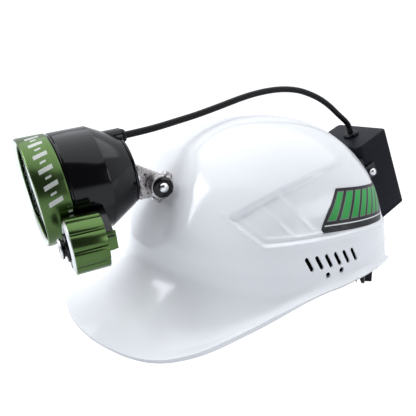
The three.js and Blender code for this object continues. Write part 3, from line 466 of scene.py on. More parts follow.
def smooth_line(points, between=8):
    """A centripetal curve through the points."""
    ends = [points[0] * 2 - points[1], *points, points[-1] * 2 - points[-2]]
    line = []
    for a, b, c, d in zip(ends, ends[1:], ends[2:], ends[3:]):
        ta = 0.0
        tb = ta + (b - a).length ** 0.5
        tc = tb + (c - b).length ** 0.5
        td = tc + (d - c).length ** 0.5
        for k in range(between):
            t = tb + (tc - tb) * k / between
            ab = a.lerp(b, (t - ta) / (tb - ta))
            bc = b.lerp(c, (t - tb) / (tc - tb))
            cd = c.lerp(d, (t - tc) / (td - tc))
            near, far = ab.lerp(bc, (t - ta) / (tc - ta)), bc.lerp(cd, (t - tb) / (td - tb))
            line.append(near.lerp(far, (t - tb) / (tc - tb)))
    return line + [points[-1].copy()]


cable_line = [p * 0.001 for p in smooth_line(route, 6)]
cable_length = sum((b - a).length for a, b in zip(cable_line, cable_line[1:]))
print("cable length: %.3f m" % cable_length)


# %% Cable tube
def swept(line, radius, sides=20):
    """A circle moved along a line, each ring joined to the one before."""
    shape = bmesh.new()
    rings = []
    for k, point in enumerate(line):
        ahead = (line[min(k + 1, len(line) - 1)] - line[max(k - 1, 0)]).normalized()
        side = Vector((1, 0, 0))
        basis = Matrix((side, ahead.cross(side).normalized(), ahead)).transposed().to_4x4()
        made = bmesh.ops.create_circle(
            shape, cap_ends=k in (0, len(line) - 1), radius=radius, segments=sides,
            matrix=Matrix.Translation(point) @ basis,
        )
        edges = {e for v in made["verts"] for e in v.link_edges if len(e.link_faces) < 2}
        rings.append([e for e in edges if e.other_vert(e.verts[0]) in set(made["verts"])])
    for first, second in zip(rings, rings[1:]):
        bmesh.ops.bridge_loops(shape, edges=first + second)
    bmesh.ops.recalc_face_normals(shape, faces=shape.faces)
    return shape


cable = link_piece("cable_tube", swept(cable_line, CABLE_RADIUS * 0.001), rubber)
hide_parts("power_cable")
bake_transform(cable)

# %% [markdown]
# ## Cap shell
# The shell is one thin moulding: a dome, and a brim that sweeps out to a peak in front. A flat grid is a good start,
# because its two directions become the angle round the cap and the way up from the rim. Every vertex is moved to the
# place that two formulas give, the open seam is merged, and Solidify gives the wall its thickness.

# %% Dome, rim and brim formulas
WALL = 2.7
DOME = dict(half_width=102.3, front=105.3, back=108.7, foot=20.2, rise=109.6, apex=4.2)
DOME_SIDE, DOME_RISE, DOME_PLAN = 0.896, 0.962, 0.876
RIM_HALF_WIDTH, RIM_FRONT, RIM_BACK = 108, 156, 119.6
RIM_HEIGHTS = [
    (0, -4.2), (22, -7.3), (42, -11), (56, -6.2), (70, 5), (84, 16), (97, 21.6), (113, 22), (130, 16.8), (152, 6),
    (180, 1),
]
BRIM_SHARE = 0.4  # where the brim ends and the dome begins, on the way up
BACK_TUCK = 0.045  # how far the rim is drawn in behind, as a share of its size


def power(value, exponent):
    return math.copysign(abs(value) ** exponent, value)


def smooth(value, low, high):
    t = min(1.0, max(0.0, (value - low) / (high - low)))
    return t * t * (3 - 2 * t)


def rim_height(angle):
    degrees = math.degrees(math.acos(max(-1.0, min(1.0, math.cos(angle)))))
    last = len(RIM_HEIGHTS) - 1
    i = next((k for k, (a, _) in enumerate(RIM_HEIGHTS) if a >= degrees), last)
    i = max(i, 1)
    (a0, z0), (a1, z1), (a2, z2), (a3, z3) = [RIM_HEIGHTS[min(max(k, 0), last)] for k in range(i - 2, i + 2)]
    u = (degrees - a1) / (a2 - a1)
    slope_1 = 0 if i == 1 else (z2 - z0) / (a2 - a0) * (a2 - a1)
    slope_2 = 0 if i == last else (z3 - z1) / (a3 - a1) * (a2 - a1)
    uu, uuu = u * u, u * u * u
    return (2 * uuu - 3 * uu + 1) * z1 + (uuu - 2 * uu + u) * slope_1 + (3 * uu - 2 * uuu) * z2 + (uuu - uu) * slope_2


def rim_point(angle):
    s, c = math.sin(angle), math.cos(angle)
    tuck = 1 - BACK_TUCK * smooth(-c, 0.1, 0.7)
    x = RIM_HALF_WIDTH * power(s, 0.94 if c > 0 else 0.85) * tuck
    y = -RIM_FRONT * c**0.7 if c > 0 else RIM_BACK * (-c) ** 0.85 * tuck
    return Vector((x, y, rim_height(angle)))


def dome_point(angle, rise):
    phi = rise * math.pi / 2
    r = max(0.0, math.cos(phi)) ** DOME_SIDE
    middle = (DOME["back"] - DOME["front"]) / 2
    half_length = (DOME["back"] + DOME["front"]) / 2
    x = DOME["half_width"] * r * power(math.sin(angle), DOME_PLAN)
    y = middle + (DOME["apex"] - middle) * (1 - r) - half_length * r * power(math.cos(angle), DOME_PLAN)
    return Vector((x, y, DOME["foot"] + DOME["rise"] * math.sin(phi) ** DOME_RISE))


def seated(point):
    """The bracket's slanted flat cuts the front of the dome."""
    plane = SEAT_Y + (point.z - SEAT_Z) * SEAT_SLOPE
    if point.y > plane + 12:
        return point
    soft = 1.2
    y = max(point.y, plane) + soft * math.exp(-abs(point.y - plane) / soft) * math.log(2)
    return Vector((point.x, y, point.z))


def shell_point(angle, v):
    foot = 0.04 + 0.075 * max(0.0, math.cos(angle)) ** 1.5
    if v >= BRIM_SHARE:
        return seated(dome_point(angle, foot + (1 - foot) * (v - BRIM_SHARE) / (1 - BRIM_SHARE)))
    top, edge = dome_point(angle, foot), rim_point(angle)
    out = Vector((edge.x - top.x, edge.y - top.y, 0))
    reach = out.length
    low = top - Vector((0, 0, min(top.z - edge.z, 26) * 0.86))
    near = edge - out * 0.5 + Vector((0, 0, reach * 0.5 * (0.16 + 0.9 * math.exp(-reach / 12))))
    t = v / BRIM_SHARE
    s = 1 - t
    return edge * s**3 + near * (3 * s * s * t) + low * (3 * s * t * t) + top * t**3


def rise_at(angle, v):
    """How far up the dome a row is: 0 at its foot and 1 at the crown."""
    foot = 0.04 + 0.075 * max(0.0, math.cos(angle)) ** 1.5
    return foot + (1 - foot) * (v - BRIM_SHARE) / (1 - BRIM_SHARE)


# %% [markdown]
# The moulder pressed a panel into each side of the dome: a point towards the front, a slanted upper edge that fades
# towards the back, a ledge below it that runs round the back, and three fine steps inside. The depth at each vertex
# is a product of soft steps, measured in millimetres along the surface.

# %% Pressed side panel
PANEL_START, PANEL_DEPTH, LIP, STEP_DEPTH, STEP_LIP = 80, 2.5, 0.6, 0.55, 0.35
ALONG_SCALE, UP_SCALE = 105, 160  # millimetres along the surface per radian, and per unit of rise
UPPER_EDGE = [(86, 45.9), (105.7, 55.5), (128.6, 64.8), (158.3, 73.6), (177.3, 78.4), (260, 92)]
LEDGE = [(86, 45.9), (114, 28.3), (161.1, 29.3), (200, 28.5), (234, 24.3), (330, 22)]
STEPS = [((100.5, 43), (115.2, 33.3)), ((114.2, 52.2), (137.3, 33.1)), ((129.3, 59.7), (154.6, 33.6))]


def height_on(line, s):
    for (s0, t0), (s1, t1) in zip(line, line[1:]):
        if s <= s1:
            return t0 + (t1 - t0) * (s - s0) / (s1 - s0)
    return line[-1][1]


def behind(line, s, t):
    """Distance from a slanted line, positive towards the back."""
    (s0, t0), (s1, t1) = line
    along = math.hypot(s1 - s0, t1 - t0)
    return ((t - t0) * (s1 - s0) - (s - s0) * (t1 - t0)) / along


def pressed(angle, rise):
    s, t = ALONG_SCALE * abs(angle), UP_SCALE * rise
    if s < PANEL_START:
        return 0.0
    over_ledge = t - height_on(LEDGE, s)
    over = smooth(over_ledge, -0.4, 1.5)
    under = smooth(height_on(UPPER_EDGE, s) - t, -0.5, 4.5)
    fading = 1 - smooth(s, 140, 190)
    depth = PANEL_DEPTH * over * under * (0.25 + 0.75 * fading) * (1 - smooth(s, 190, 235))
    depth += 1.0 * over * smooth(s, 120, 175) * (1 - smooth(over_ledge, 6, 42))
    depth -= LIP * math.exp(-(((over_ledge + 0.8) / 1.3) ** 2))  # a rolled lip along the ledge
    for line in STEPS:
        inner = min(behind(line, s, t), t - line[1][1])
        shown = over * under * (1 - smooth(s, 160, 176))
        depth += STEP_DEPTH * smooth(inner, -0.5, 0.7) * (1 - smooth(inner, 0.7, 14)) * shown
        depth -= STEP_LIP * math.exp(-(((inner + 0.6) / 0.8) ** 2)) * shown
    return depth


# %% Shell: a grid shaped by the formulas
AROUND, UPWARD = 300, 156
ROW_PLAN = [(0, 0), (0.22, 0.4), (0.27, 0.453), (0.80, 0.6875), (1, 1)]  # most rows go where the pressed panel is
LEDGE_ROW = 54


def row_place(share):
    for (q0, v0), (q1, v1) in zip(ROW_PLAN, ROW_PLAN[1:]):
        if share <= q1:
            return v0 + (v1 - v0) * (share - q0) / (q1 - q0)
    return 1.0


def along_ledge(angle, v):
    """Slide a row up or down the dome, so that one row lies exactly on the ledge."""
    s, t = ALONG_SCALE * abs(angle), UP_SCALE * rise_at(angle, v)
    ledge_row = UP_SCALE * rise_at(angle, row_place(LEDGE_ROW / UPWARD))
    shift = (height_on(LEDGE, max(s, LEDGE[1][0])) - ledge_row) * math.exp(-(((t - ledge_row) / 14) ** 2))
    slope = UP_SCALE * (rise_at(angle, 1) - rise_at(angle, BRIM_SHARE)) / (1 - BRIM_SHARE)
    return v + shift / slope * smooth(s, 60, 100) * smooth(v, BRIM_SHARE, BRIM_SHARE + 0.05)


shell = bmesh.new()
bmesh.ops.create_grid(shell, x_segments=AROUND, y_segments=UPWARD, size=1)
press_depth = {}
for vertex in shell.verts:
    turn_by = math.pi * vertex.co.x
    angle = turn_by + 0.2 * math.sin(2 * turn_by)  # columns crowd at the sides, where the pressed panel is
    v = row_place((vertex.co.y + 1) / 2)
    if v > BRIM_SHARE:
        v = along_ledge(angle, v)
    vertex.co = shell_point(angle, v)
    if v > BRIM_SHARE:
        press_depth[vertex] = pressed(angle, rise_at(angle, v))
shell.normal_update()
for vertex, depth in press_depth.items():
    outward = vertex.normal if vertex.normal.dot(vertex.co - Vector((0, 0, 40))) > 0 else -vertex.normal
    vertex.co -= outward * depth
bmesh.ops.remove_doubles(shell, verts=shell.verts, dist=0.02)
bmesh.ops.recalc_face_normals(shell, faces=shell.faces)
print("shell grid:", len(shell.verts), "vertices")

# %% [markdown]
# Six slanted vents and two rivet holes go through each side. Each is a small tool body, and a Boolean modifier takes
# them all out of the wall at once after Solidify.

# %% Vent and hole tools
VENTS = dict(count=6, first=-22.4, pitch=8.04, z=36.9, length=11.2, width=3.0, lean=0.48)
RIVET_HOLES = [(-7.2, 26.9), (5.2, 28.1)]
tools = []
for side in (1, -1):
    for k in range(VENTS["count"]):
        slot_size = (30, VENTS["width"], VENTS["length"])
        slot_tool = block(slot_size, corner=VENTS["width"] / 2 - 0.02, edge=0, axis=0, segments=4)
        place = Matrix.Translation((side * 92, VENTS["first"] + k * VENTS["pitch"], VENTS["z"]))
        tools.append(put(slot_tool, place @ Matrix.Rotation(VENTS["lean"], 4, "X")))
    for y, z in RIVET_HOLES:
        hole_tool = turned([(0, 0), (2.1, 0), (2.1, 30), (0, 30)], 24, 0)
        tools.append(put(hole_tool, Matrix.Translation((side * 92 - 15, y, z)) @ ALONG_X))
for z in (8.7, -8.7):
    screw_tool = turned([(0, -12), (1.95, -12), (1.95, 12), (0, 12)], 20, 0)
    tools.append(put(screw_tool, CAP.inverted() @ SEAT @ Matrix.Translation((0, 0, z))))
cutter = link_piece("vent_tools", put(joined(*tools), METRES @ CAP), white_shell)

# %% Wall thickness, cuts and the finished shell
shell_skin = link_piece("cap_shell_moulding", put(shell, METRES @ CAP), white_shell)
wall = shell_skin.modifiers.new("wall", "SOLIDIFY")
wall.thickness, wall.offset, wall.use_rim = WALL * 0.001, -1, True
cuts = shell_skin.modifiers.new("cuts", "BOOLEAN")
cuts.operation, cuts.object, cuts.solver = "DIFFERENCE", cutter, "EXACT"
solved = bpy.data.meshes.new_from_object(shell_skin.evaluated_get(bpy.context.evaluated_depsgraph_get()))
shell_skin.modifiers.clear()
shell_skin.data = solved
solved.polygons.foreach_set("use_smooth", [True] * len(solved.polygons))
solved.set_sharp_from_angle(angle=math.radians(50))
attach(shell_skin, "cap")
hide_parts("cap_shell")
print("shell faces:", len(solved.polygons))

# %% Painted shade in the vents: a thin dark sheet just inside the wall, kept only where the cutting tools pass
SHADE_SHEET_INSET, SHADE_SHEET_THICKNESS = 1.1, 1.2


def vent_sheet(side):
    sheet = bmesh.new()
    bmesh.ops.create_grid(sheet, x_segments=24, y_segments=12, size=0.5)
    for vertex in sheet.verts:
        angle, v = math.pi / 2 + vertex.co.x * 0.56, BRIM_SHARE - 0.03 + (vertex.co.y + 0.5) * 0.105
        p = shell_point(angle, v)
        vertex.co = (side * (p.x - SHADE_SHEET_INSET), p.y, p.z)
    thick = bmesh.ops.extrude_face_region(sheet, geom=sheet.faces[:])
    inner = [e for e in thick["geom"] if isinstance(e, bmesh.types.BMVert)]
    bmesh.ops.translate(sheet, verts=inner, vec=(-side * SHADE_SHEET_THICKNESS, 0, 0))
    bmesh.ops.recalc_face_normals(sheet, faces=sheet.faces)
    return sheet


for side, word in ((1, "left"), (-1, "right")):
    # Each sheet paints the vent openings dark as shade; it stands for shadow inside the cap, not for a real part.
    shade_sheet = finish_piece("vent_screen_" + word, vent_sheet(side), CAP, "cap", vent_shade_black, "foam")
    trim = shade_sheet.modifiers.new("trim", "BOOLEAN")
    trim.operation, trim.object, trim.solver = "INTERSECT", cutter, "EXACT"
    trimmed = bpy.data.meshes.new_from_object(shade_sheet.evaluated_get(bpy.context.evaluated_depsgraph_get()))
    shade_sheet.modifiers.clear()
    shade_sheet.data = trimmed
    print("vent_screen_" + word, len(trimmed.polygons), "faces")
bpy.data.objects.remove(cutter)

# %% [markdown]
# ## Side stickers
# A sticker is a thin sheet that lies on the dome. A small grid is laid on the same dome formula, in a slanted
# outline, and lifted a little off the wall. Its grid coordinates become its UV map before the vertices move.


# %% Stickers
STICKER_LIFT, STICKER_THICKNESS = 0.45, 0.25


def sticker_sheet(side):
    sheet = bmesh.new()
    bmesh.ops.create_grid(sheet, x_segments=60, y_segments=24, size=0.5)
    layer = sheet.loops.layers.uv.new("sticker")
    for face in sheet.faces:
        for loop in face.loops:
            u, w = loop.vert.co.x + 0.5, loop.vert.co.y + 0.5
            loop[layer].uv = (u, w)
    for vertex in sheet.verts:
        u, w = vertex.co.x + 0.5, vertex.co.y + 0.5
        angle = 1.5 + 0.15 * w - 0.05 * w * (1 - w) * (1 - u) + u * (0.68 + 0.08 * w)
        rise = 0.2 - 0.025 * u + w * (0.178 - 0.015 * u)
        e = 1e-3
        p = dome_point(angle, rise)
        normal = (dome_point(angle + e, rise) - dome_point(angle - e, rise)).cross(
            dome_point(angle, rise + e) - dome_point(angle, rise - e)
        ).normalized()
        p += normal * (STICKER_LIFT - pressed(angle, rise))
        vertex.co = (side * p.x, p.y, p.z)
    bmesh.ops.recalc_face_normals(sheet, faces=sheet.faces)
    if sum(f.normal.x * f.calc_area() for f in sheet.faces) * side < 0:
        bmesh.ops.reverse_faces(sheet, faces=sheet.faces)
    bmesh.ops.solidify(sheet, geom=sheet.faces, thickness=STICKER_THICKNESS)
    return sheet


for side, word in ((1, "left"), (-1, "right")):
    finish_piece("sticker_" + word, sticker_sheet(side), CAP, "cap", side_sticker, "decal", "side_decal_" + word)

# %% [markdown]
# ## Lamp head
# The body, its back cover and the bezel are turned on a lathe, so each is one outline spun about the lamp's axis.
# The small round boss at the top of the cone holds the cable gland.

# %% Body, cover and gland
BODY_LENGTH = 61.4
body_shape = turned(
    [
        (30, 6.6), (32.6, 6.6), (32.6, 18.2), (34.1, 18.2), (34.1, 19.6), (35.3, 19.6), (35.3, 42.6), (25, BODY_LENGTH),
        (19, BODY_LENGTH), (19, 59.2), (22.5, 57.4), (31, 41.6), (31, 20), (30, 19),
    ],
    144, 0.4, 3,
)
boss = turned([(2.9, 50), (5.7, 50), (5.7, 65), (2.9, 65)], 48, 0.5, 3)
finish_piece(
    "lamp_body_turned", joined(body_shape, put(boss, Matrix.Translation((0, 0, GLAND_Z)))), LAMP, "lamp_head",
    body_black, "black_metal", "lamp_body",
)
cover_shape = turned([(0, 61.75), (22.6, 61.75), (23.8, 62.2), (23.8, 63.6), (22.9, 64.15), (0, 64.15)], 120, 0.2)
finish_piece("rear_cover_turned", cover_shape, LAMP, "lamp_head", body_black, "black_metal", "rear_cover")
gland_shape = turned([(2.65, 65.4), (4.8, 65.4), (4.8, 66.4), (3.9, 68), (2.65, 68)], 48, 0.25)
finish_piece(
    "gland_sleeve", gland_shape, LAMP @ Matrix.Translation((0, 0, GLAND_Z)), "lamp_head", rubber, "rubber",
    "cable_gland",
)

# %% Bezel with a stepped front lip
bezel_shape = turned(
    [
        (32.95, 17.6), (32.95, 2.2), (31.6, 2.2), (31.6, 1.5), (34.1, 0.0), (34.9, 0.0), (35.6, 0.6), (35.6, 16.9),
        (35.2, 17.6),
    ],
    160, 0.12,
)
finish_piece("bezel_turned", bezel_shape, LAMP, "lamp_head", bezel_green, "green_metal", "bezel")
window = turned([(0, 2.6), (31.9, 2.6), (32.4, 3.0), (32.4, 4.6), (32.0, 5.0), (0, 5.0)], 128, 0.15)
finish_piece("lens_window", window, LAMP, "lamp_head", lens_glass, "lens", "front_lens")
gasket = turned([(29.6, 5.3), (32.4, 5.3), (32.4, 6.3), (29.6, 6.3)], 96, 0.25)
finish_piece("lens_seal", gasket, LAMP, "lamp_head", lens_gasket, "rubber", "lens_gasket")


# %% Reflector and emitter
def bowl(outer):
    steps = 14
    rows = [k / steps for k in range(steps + 1)]
    return [(4.6 + 24 * math.sqrt(u) + outer * 1.1, 30 + outer * 0.6 - 23 * u) for u in rows]


reflector_shape = turned(bowl(0) + bowl(1)[::-1], 96, 0)
finish_piece("reflector_bowl", reflector_shape, LAMP, "lamp_head", mirror, "mirror", "reflector")
emitter_profile = [(0, 27.6), (0.9, 27.75), (1.7, 28.3), (2.3, 29.2), (2.7, 30.2), (2.8, 31.2), (0, 31.2)]
emitter_shape = turned(emitter_profile, 40, 0.05)
finish_piece("emitter_lens", emitter_shape, LAMP, "lamp_head", emitter, "emitter", "led_emitter")

# %% [markdown]
# ## Selector knob
# The knob is a lobed bar of green aluminium with a bright machined ring round a dark front face. Its outline
# repeats one arc ten times. The front face is bridged to a round recess, where the stepped index disc sits.


# %% Lobed outlines
def lobes(radius, groove, count, fine=12, square=2.0, start=0.0):
    outline = []
    for i in range(count):
        for k in range(fine):
            u = k / fine
            angle = (i * 2 + 2 * u) * math.pi / count + start
            r = groove + (radius - groove) * math.sqrt(max(0.0, 1 - abs(2 * u - 1) ** square))
            outline.append((r * math.cos(angle), r * math.sin(angle)))
    return outline


def recess(shape, radius, y, depth):
    """Replaces the flat face at y by a flat ring round a round recess."""
    face = min((f for f in shape.faces if abs(f.normal.y) > 0.99), key=lambda f: abs(f.calc_center_median().y - y))
    rim = list(face.edges)
    count = len(face.verts)
    bmesh.ops.delete(shape, geom=[face], context="FACES_ONLY")
    ring = []
    for level in (y, y + depth):
        made = bmesh.ops.create_circle(
            shape, cap_ends=level != y, radius=radius, segments=count,
            matrix=Matrix.Translation((0, level, 0)) @ Matrix.Rotation(math.pi / 2, 4, "X"),
        )
        inside = set(made["verts"])
        ring.append([e for e in {e for v in inside for e in v.link_edges} if set(e.verts) <= inside])
    bmesh.ops.bridge_loops(shape, edges=rim + ring[0])
    bmesh.ops.bridge_loops(shape, edges=ring[0] + ring[1])
    bmesh.ops.recalc_face_normals(shape, faces=shape.faces)
    return shape


# %% Knob
KNOB_LENGTH = 19.2
knob_shape = soften(extruded(lobes(17.2, 15.7, 10, 16, 4.0, 0.06), KNOB_LENGTH), 0.3, 2, 70)
knob_shape = recess(knob_shape, 13.4, 0, 1.2)
finish_piece("knob_lobed", knob_shape, SELECTOR, "selector", knob_green, "green_metal", "selector_knob")
face_ring = turned([(12.9, -1.3), (13.5, -1.5), (15.35, -0.3), (15.35, 0.3), (12.9, 0.3)], 96, 0.08)
finish_piece("knob_face_ring", face_ring, SELECTOR, "selector", white_edge, "steel")
face_disc = turned([(0, -1.0), (13.0, -1.0), (13.0, 0.2), (0, 0.2)], 80, 0.05)
finish_piece("knob_face_disc", face_disc, SELECTOR, "selector", body_black, "black_metal")
index_shape = turned(
    [
        (0, -5.8), (5.6, -5.8), (6.2, -5.2), (6.2, -4), (5, -3.8), (5, -3), (8.2, -2.8), (8.6, -2.3), (8.6, -1.2),
        (0, -1.2),
    ],
    72, 0.15,
)
finish_piece("index_disc_turned", index_shape, SELECTOR, "selector", body_black, "steel", "index_disc")
index_rim = turned([(5.0, -5.95), (5.9, -5.95), (6.3, -5.4), (6.3, -4.9), (5.0, -4.9)], 64, 0.08)
finish_piece("index_rim", index_rim, SELECTOR, "selector", white_edge, "steel")
shaft_shape = turned([(0, -0.6), (3, -0.6), (3, 26.6), (0, 26.6)], 40, 0.3)
finish_piece("selector_shaft_turned", shaft_shape, SELECTOR, "lamp_head", steel, "steel", "selector_shaft")

# %% Arm off the body, and its cover
ARM_FRONT, ARM_THICKNESS, ARM_HALF, ARM_END = KNOB_LENGTH + 0.6, 5.2, 6.6, 5.4
KNOB_X, KNOB_Z, BODY_RADIUS, ARM_OVERLAP = 46.8, -25.6, 35.3, 3.4
arm_reach = math.hypot(KNOB_X, KNOB_Z) - BODY_RADIUS + ARM_OVERLAP
arm_outline = [(-ARM_END, -ARM_HALF), (arm_reach, -7.6), (arm_reach, 7.6), (-ARM_END, ARM_HALF)]
arm_shape = soften(extruded(arm_outline, ARM_THICKNESS), 0.5, 3, 40)
towards_axis = Matrix.Rotation(math.pi - math.atan2(KNOB_Z, KNOB_X), 4, "Y") @ Matrix.Translation((0, ARM_FRONT, 0))
arm_shape = put(arm_shape, towards_axis)
finish_piece("selector_arm_plate", arm_shape, SELECTOR, "lamp_head", body_black, "black_metal", "selector_arm")
arm_cover_centre = (ARM_END + 1.15, ARM_FRONT + ARM_THICKNESS / 2 + 0.2, 0)
arm_cover = block((1.6, ARM_THICKNESS + 1, 2 * ARM_HALF - 1.6), arm_cover_centre, 0, 0.35)
finish_piece("arm_cover_plate", arm_cover, SELECTOR, "lamp_head", knob_green, "green_metal", "arm_cover")

# %% [markdown]
# ## Tilting bracket
# A fork on the lamp's back cover closes round a tongue on the cap. A bolt joins them, and the thumb nut on its left
# end sets how hard the joint drags. The castings are plated and a little rough, so they keep a strong bump.

# %% Fork with a round boss on each ear
PIVOT_Y, PIVOT_Z, FORK_RADIUS, FORK_INNER, FORK_OUTER = 78.7, -12.8, 8.3, 8.6, 13.4
FLANGE_FACE, EAR_TOP, EAR_BOTTOM = BODY_LENGTH + 3.1, 4.6, -20.4


def ear_outline():
    outline = [(FLANGE_FACE, EAR_BOTTOM), (FLANGE_FACE, EAR_TOP), (FLANGE_FACE + 3, EAR_TOP)]
    for k in range(25):
        angle = math.pi / 3 - k / 24 * math.pi * 5 / 6
        outline.append((PIVOT_Y + FORK_RADIUS * math.cos(angle), PIVOT_Z + FORK_RADIUS * math.sin(angle)))
    return outline + [(FLANGE_FACE + 3, EAR_BOTTOM)]


def ear(side):
    plate = extruded([(-y, z) for y, z in ear_outline()], FORK_OUTER - FORK_INNER)
    plate = soften(plate, 0.7, 3, 30)
    start = FORK_INNER if side > 0 else -FORK_OUTER
    return put(plate, Matrix.Translation((start, 0, 0)) @ Matrix.Rotation(-math.pi / 2, 4, "Z"))


flange_centre = (0, FLANGE_FACE + 1.5, (EAR_TOP + EAR_BOTTOM) / 2)
flange = block((2 * FORK_OUTER, 3, EAR_TOP - EAR_BOTTOM), flange_centre, 2.2, 0.5, 1)
fork_shape = joined(ear(1), ear(-1), flange)
finish_piece("tilt_fork_cast", fork_shape, LAMP, "lamp_head", nickel, "nickel", "tilt_fork")

# %% Tongue and foot plate on the cap
TONGUE_HALF, TONGUE_RADIUS = FORK_INNER - 0.4, 8.0
knuckle_profile = [(0, -TONGUE_HALF), (TONGUE_RADIUS, -TONGUE_HALF), (TONGUE_RADIUS, TONGUE_HALF), (0, TONGUE_HALF)]
knuckle = put(turned(knuckle_profile, 64, 0.6, 3), ALONG_X)
web_centre = (0, -(pivot_distance + 1) / 2 + pivot_distance, 0)
web = block((2 * TONGUE_HALF, pivot_distance - 1, 2 * TONGUE_RADIUS - 5.6), web_centre, 0, 0.5)
foot = block((16, 2, 24), (0, pivot_distance - 1.35, 0), 5, 0.4, 1)
foot_shape = put(joined(knuckle, web, foot), Matrix.Translation((0, -pivot_distance, 0)))
finish_piece("bracket_foot_cast", foot_shape, SEAT, "cap", nickel, "nickel", "bracket_foot")


def pan_screw(head, length, shank=1.6):
    profile = [(0, -1.9), (head * 0.6, -1.8), (head, -0.9), (head, 0), (shank, 0), (shank, length), (0, length)]
    return turned(profile, 32, 0.12)


for z, word in ((8.7, "upper"), (-8.7, "lower")):
    place = SEAT @ Matrix.Translation((0, -2.7, z))
    finish_piece("foot_screw_pan_" + word, pan_screw(2.9, 10.2), place, "cap", steel, "steel", "foot_screw_" + word)

# %% Bolt, washer and thumb nut
bolt_head = extruded([(5.2 * math.cos(k * math.pi / 3), 5.2 * math.sin(k * math.pi / 3)) for k in range(6)], 3.2)
bolt_head = put(soften(bolt_head, 0.3), Matrix.Translation((0, -FORK_OUTER - 3.55, 0)))
shank = turned([(0, -15.4), (2.5, -15.4), (2.5, 25.6), (0, 25.6)], 36, 0.2)
finish_piece("pivot_bolt_hex", joined(bolt_head, shank), PIVOT @ ALONG_X, "lamp_head", steel, "steel", "pivot_bolt")
washer = turned([(2.85, 13.7), (7.4, 13.7), (7.4, 14.6), (2.85, 14.6)], 64, 0.12)
finish_piece("washer_spring", washer, PIVOT @ ALONG_X, "lamp_head", steel, "steel", "friction_washer")
NUT_START = 14.9
nut_place = PIVOT @ ALONG_X @ Matrix.Translation((0, NUT_START, 0))
nut_barrel = turned([(3, 0.1), (7.9, 0.0), (8.5, 0.8), (8.5, 9.0), (8.1, 9.6), (3, 9.6)], 72, 0.2)
finish_piece("nut_barrel", nut_barrel, nut_place, "thumb_nut", nickel, "black_metal", "thumb_nut")
nut_face = turned([(0, 9.6), (7.5, 9.6), (7.4, 10.1), (6.9, 10.6), (5.7, 10.9), (3.6, 11), (0, 11)], 72, 0.25, 3)
finish_piece("nut_face", nut_face, nut_place, "thumb_nut", body_black, "black_metal")
nut_dome = turned([(0, 10.8), (3.6, 10.8), (3.5, 11.6), (3.0, 12.5), (2.2, 13.1), (1.1, 13.4), (0, 13.4)], 48, 0.1)
finish_piece("nut_dome", nut_dome, nut_place, "thumb_nut", polished_dome, "steel")
for word, side in (("left", 1), ("right", -1)):
    screw_head = turned([(0, 0), (2.6, 0), (2.6, 0.3), (2.4, 1.0), (1.6, 1.35), (0, 1.4)], 32, 0.08)
    place = LAMP @ Matrix.Translation((side * 18.6, FLANGE_FACE, -4))
    finish_piece("cover_screw_head_" + word, screw_head, place, "lamp_head", steel, "steel", "cover_screw_" + word)

# %% [markdown]
# ## Battery box
# The box is a plain moulding with generous radii, open below and closed by a lid. Deleting the bottom face and giving
# the rest a wall keeps it hollow, as the real one is. It hangs in a bent plate that two screws hold to the cap.

# %% Case and lid
BOX_WIDTH, BOX_HEIGHT, BOX_DEPTH, LID = 62.2, 79.9, 38.4, 3.0
case_height = BOX_HEIGHT - LID - 0.35
case_shape = block((BOX_WIDTH, BOX_DEPTH, case_height), (0, -BOX_DEPTH / 2, -case_height / 2), 4.5, 0, 2, 8)
top_edges = [e for e in case_shape.edges if all(abs(v.co.z) < 1e-3 for v in e.verts)]
bmesh.ops.bevel(
    case_shape, geom=top_edges, offset=1.6, segments=4, profile=0.5, affect="EDGES", clamp_overlap=True, material=-1
)
bottom = [f for f in case_shape.faces if f.normal.z < -0.99 and f.calc_center_median().z < -case_height + 0.1]
bmesh.ops.delete(case_shape, geom=bottom, context="FACES_ONLY")
bmesh.ops.solidify(case_shape, geom=case_shape.faces, thickness=2.3)
finish_piece("battery_case_moulding", case_shape, BOX, "cap", box_plastic, "box_plastic", "battery_case")
lid_shape = block((BOX_WIDTH, BOX_DEPTH, LID), (0, -BOX_DEPTH / 2, -BOX_HEIGHT + LID / 2), 4.5, 0.6, 2, 8)
finish_piece("battery_lid_moulding", lid_shape, BOX, "cap", box_plastic, "box_plastic", "battery_lid")
corner_x, corner_y = BOX_WIDTH / 2 - 5, BOX_DEPTH / 2 - 5
for word, sx, sy in (("a", -1, -1), ("b", -1, 1), ("c", 1, -1), ("d", 1, 1)):
    lid_screw = turned([(0, 0), (2.9, 0), (2.9, 1.1), (1.4, 1.2), (1.4, 11), (0, 11)], 32, 0.12)
    place = BOX @ Matrix.Translation((sx * corner_x, -BOX_DEPTH / 2 + sy * corner_y, -BOX_HEIGHT - 0.05)) @ ALONG_Z
    finish_piece("lid_screw_pan_" + word, lid_screw, place, "cap", steel, "steel", "lid_screw_" + word)

# %% Grommet, charge cap and bracket
grommet_profile = [
    (2.65, -4.4), (4.2, -4.4), (4.2, 0.1), (7.2, 0.1), (7.2, 1.5), (6.2, 2.7), (4.6, 3.1), (2.65, 2.7),
]
grommet_shape = put(turned(grommet_profile, 56, 0.3, 3), ALONG_Z)
grommet_place = BOX @ Matrix.Translation((3.1, -18, 0))
finish_piece("box_grommet_ring", grommet_shape, grommet_place, "cap", rubber, "rubber", "box_grommet")
charge_x, charge_y = -14, -BOX_DEPTH / 2
cap_shape = joined(
    block((18, 12, 2), (charge_x, charge_y, -BOX_HEIGHT - 1.35), 3, 0.4),
    block((6.4, 1.8, 2.2), (charge_x, charge_y, -BOX_HEIGHT + 0.65), 0, 0.3),
)
finish_piece("charge_cap_rubber", cap_shape, BOX, "charge_cap", rubber, "rubber", "charge_cap")
EAR_X = BOX_WIDTH / 2 + 0.35
plate = block((2 * EAR_X + 3.6, 1.8, 48), (0, -BOX_DEPTH - 1.3, -34), 3, 0.4, 1)
side_ears = [block((1.8, 13.6, 13), (s * (EAR_X + 0.9), -33.8, -26), 0, 0.5) for s in (1, -1)]
bracket_shape = joined(plate, *side_ears)
finish_piece("box_bracket_plate", bracket_shape, BOX, "cap", black_plastic, "black_plastic", "box_bracket")
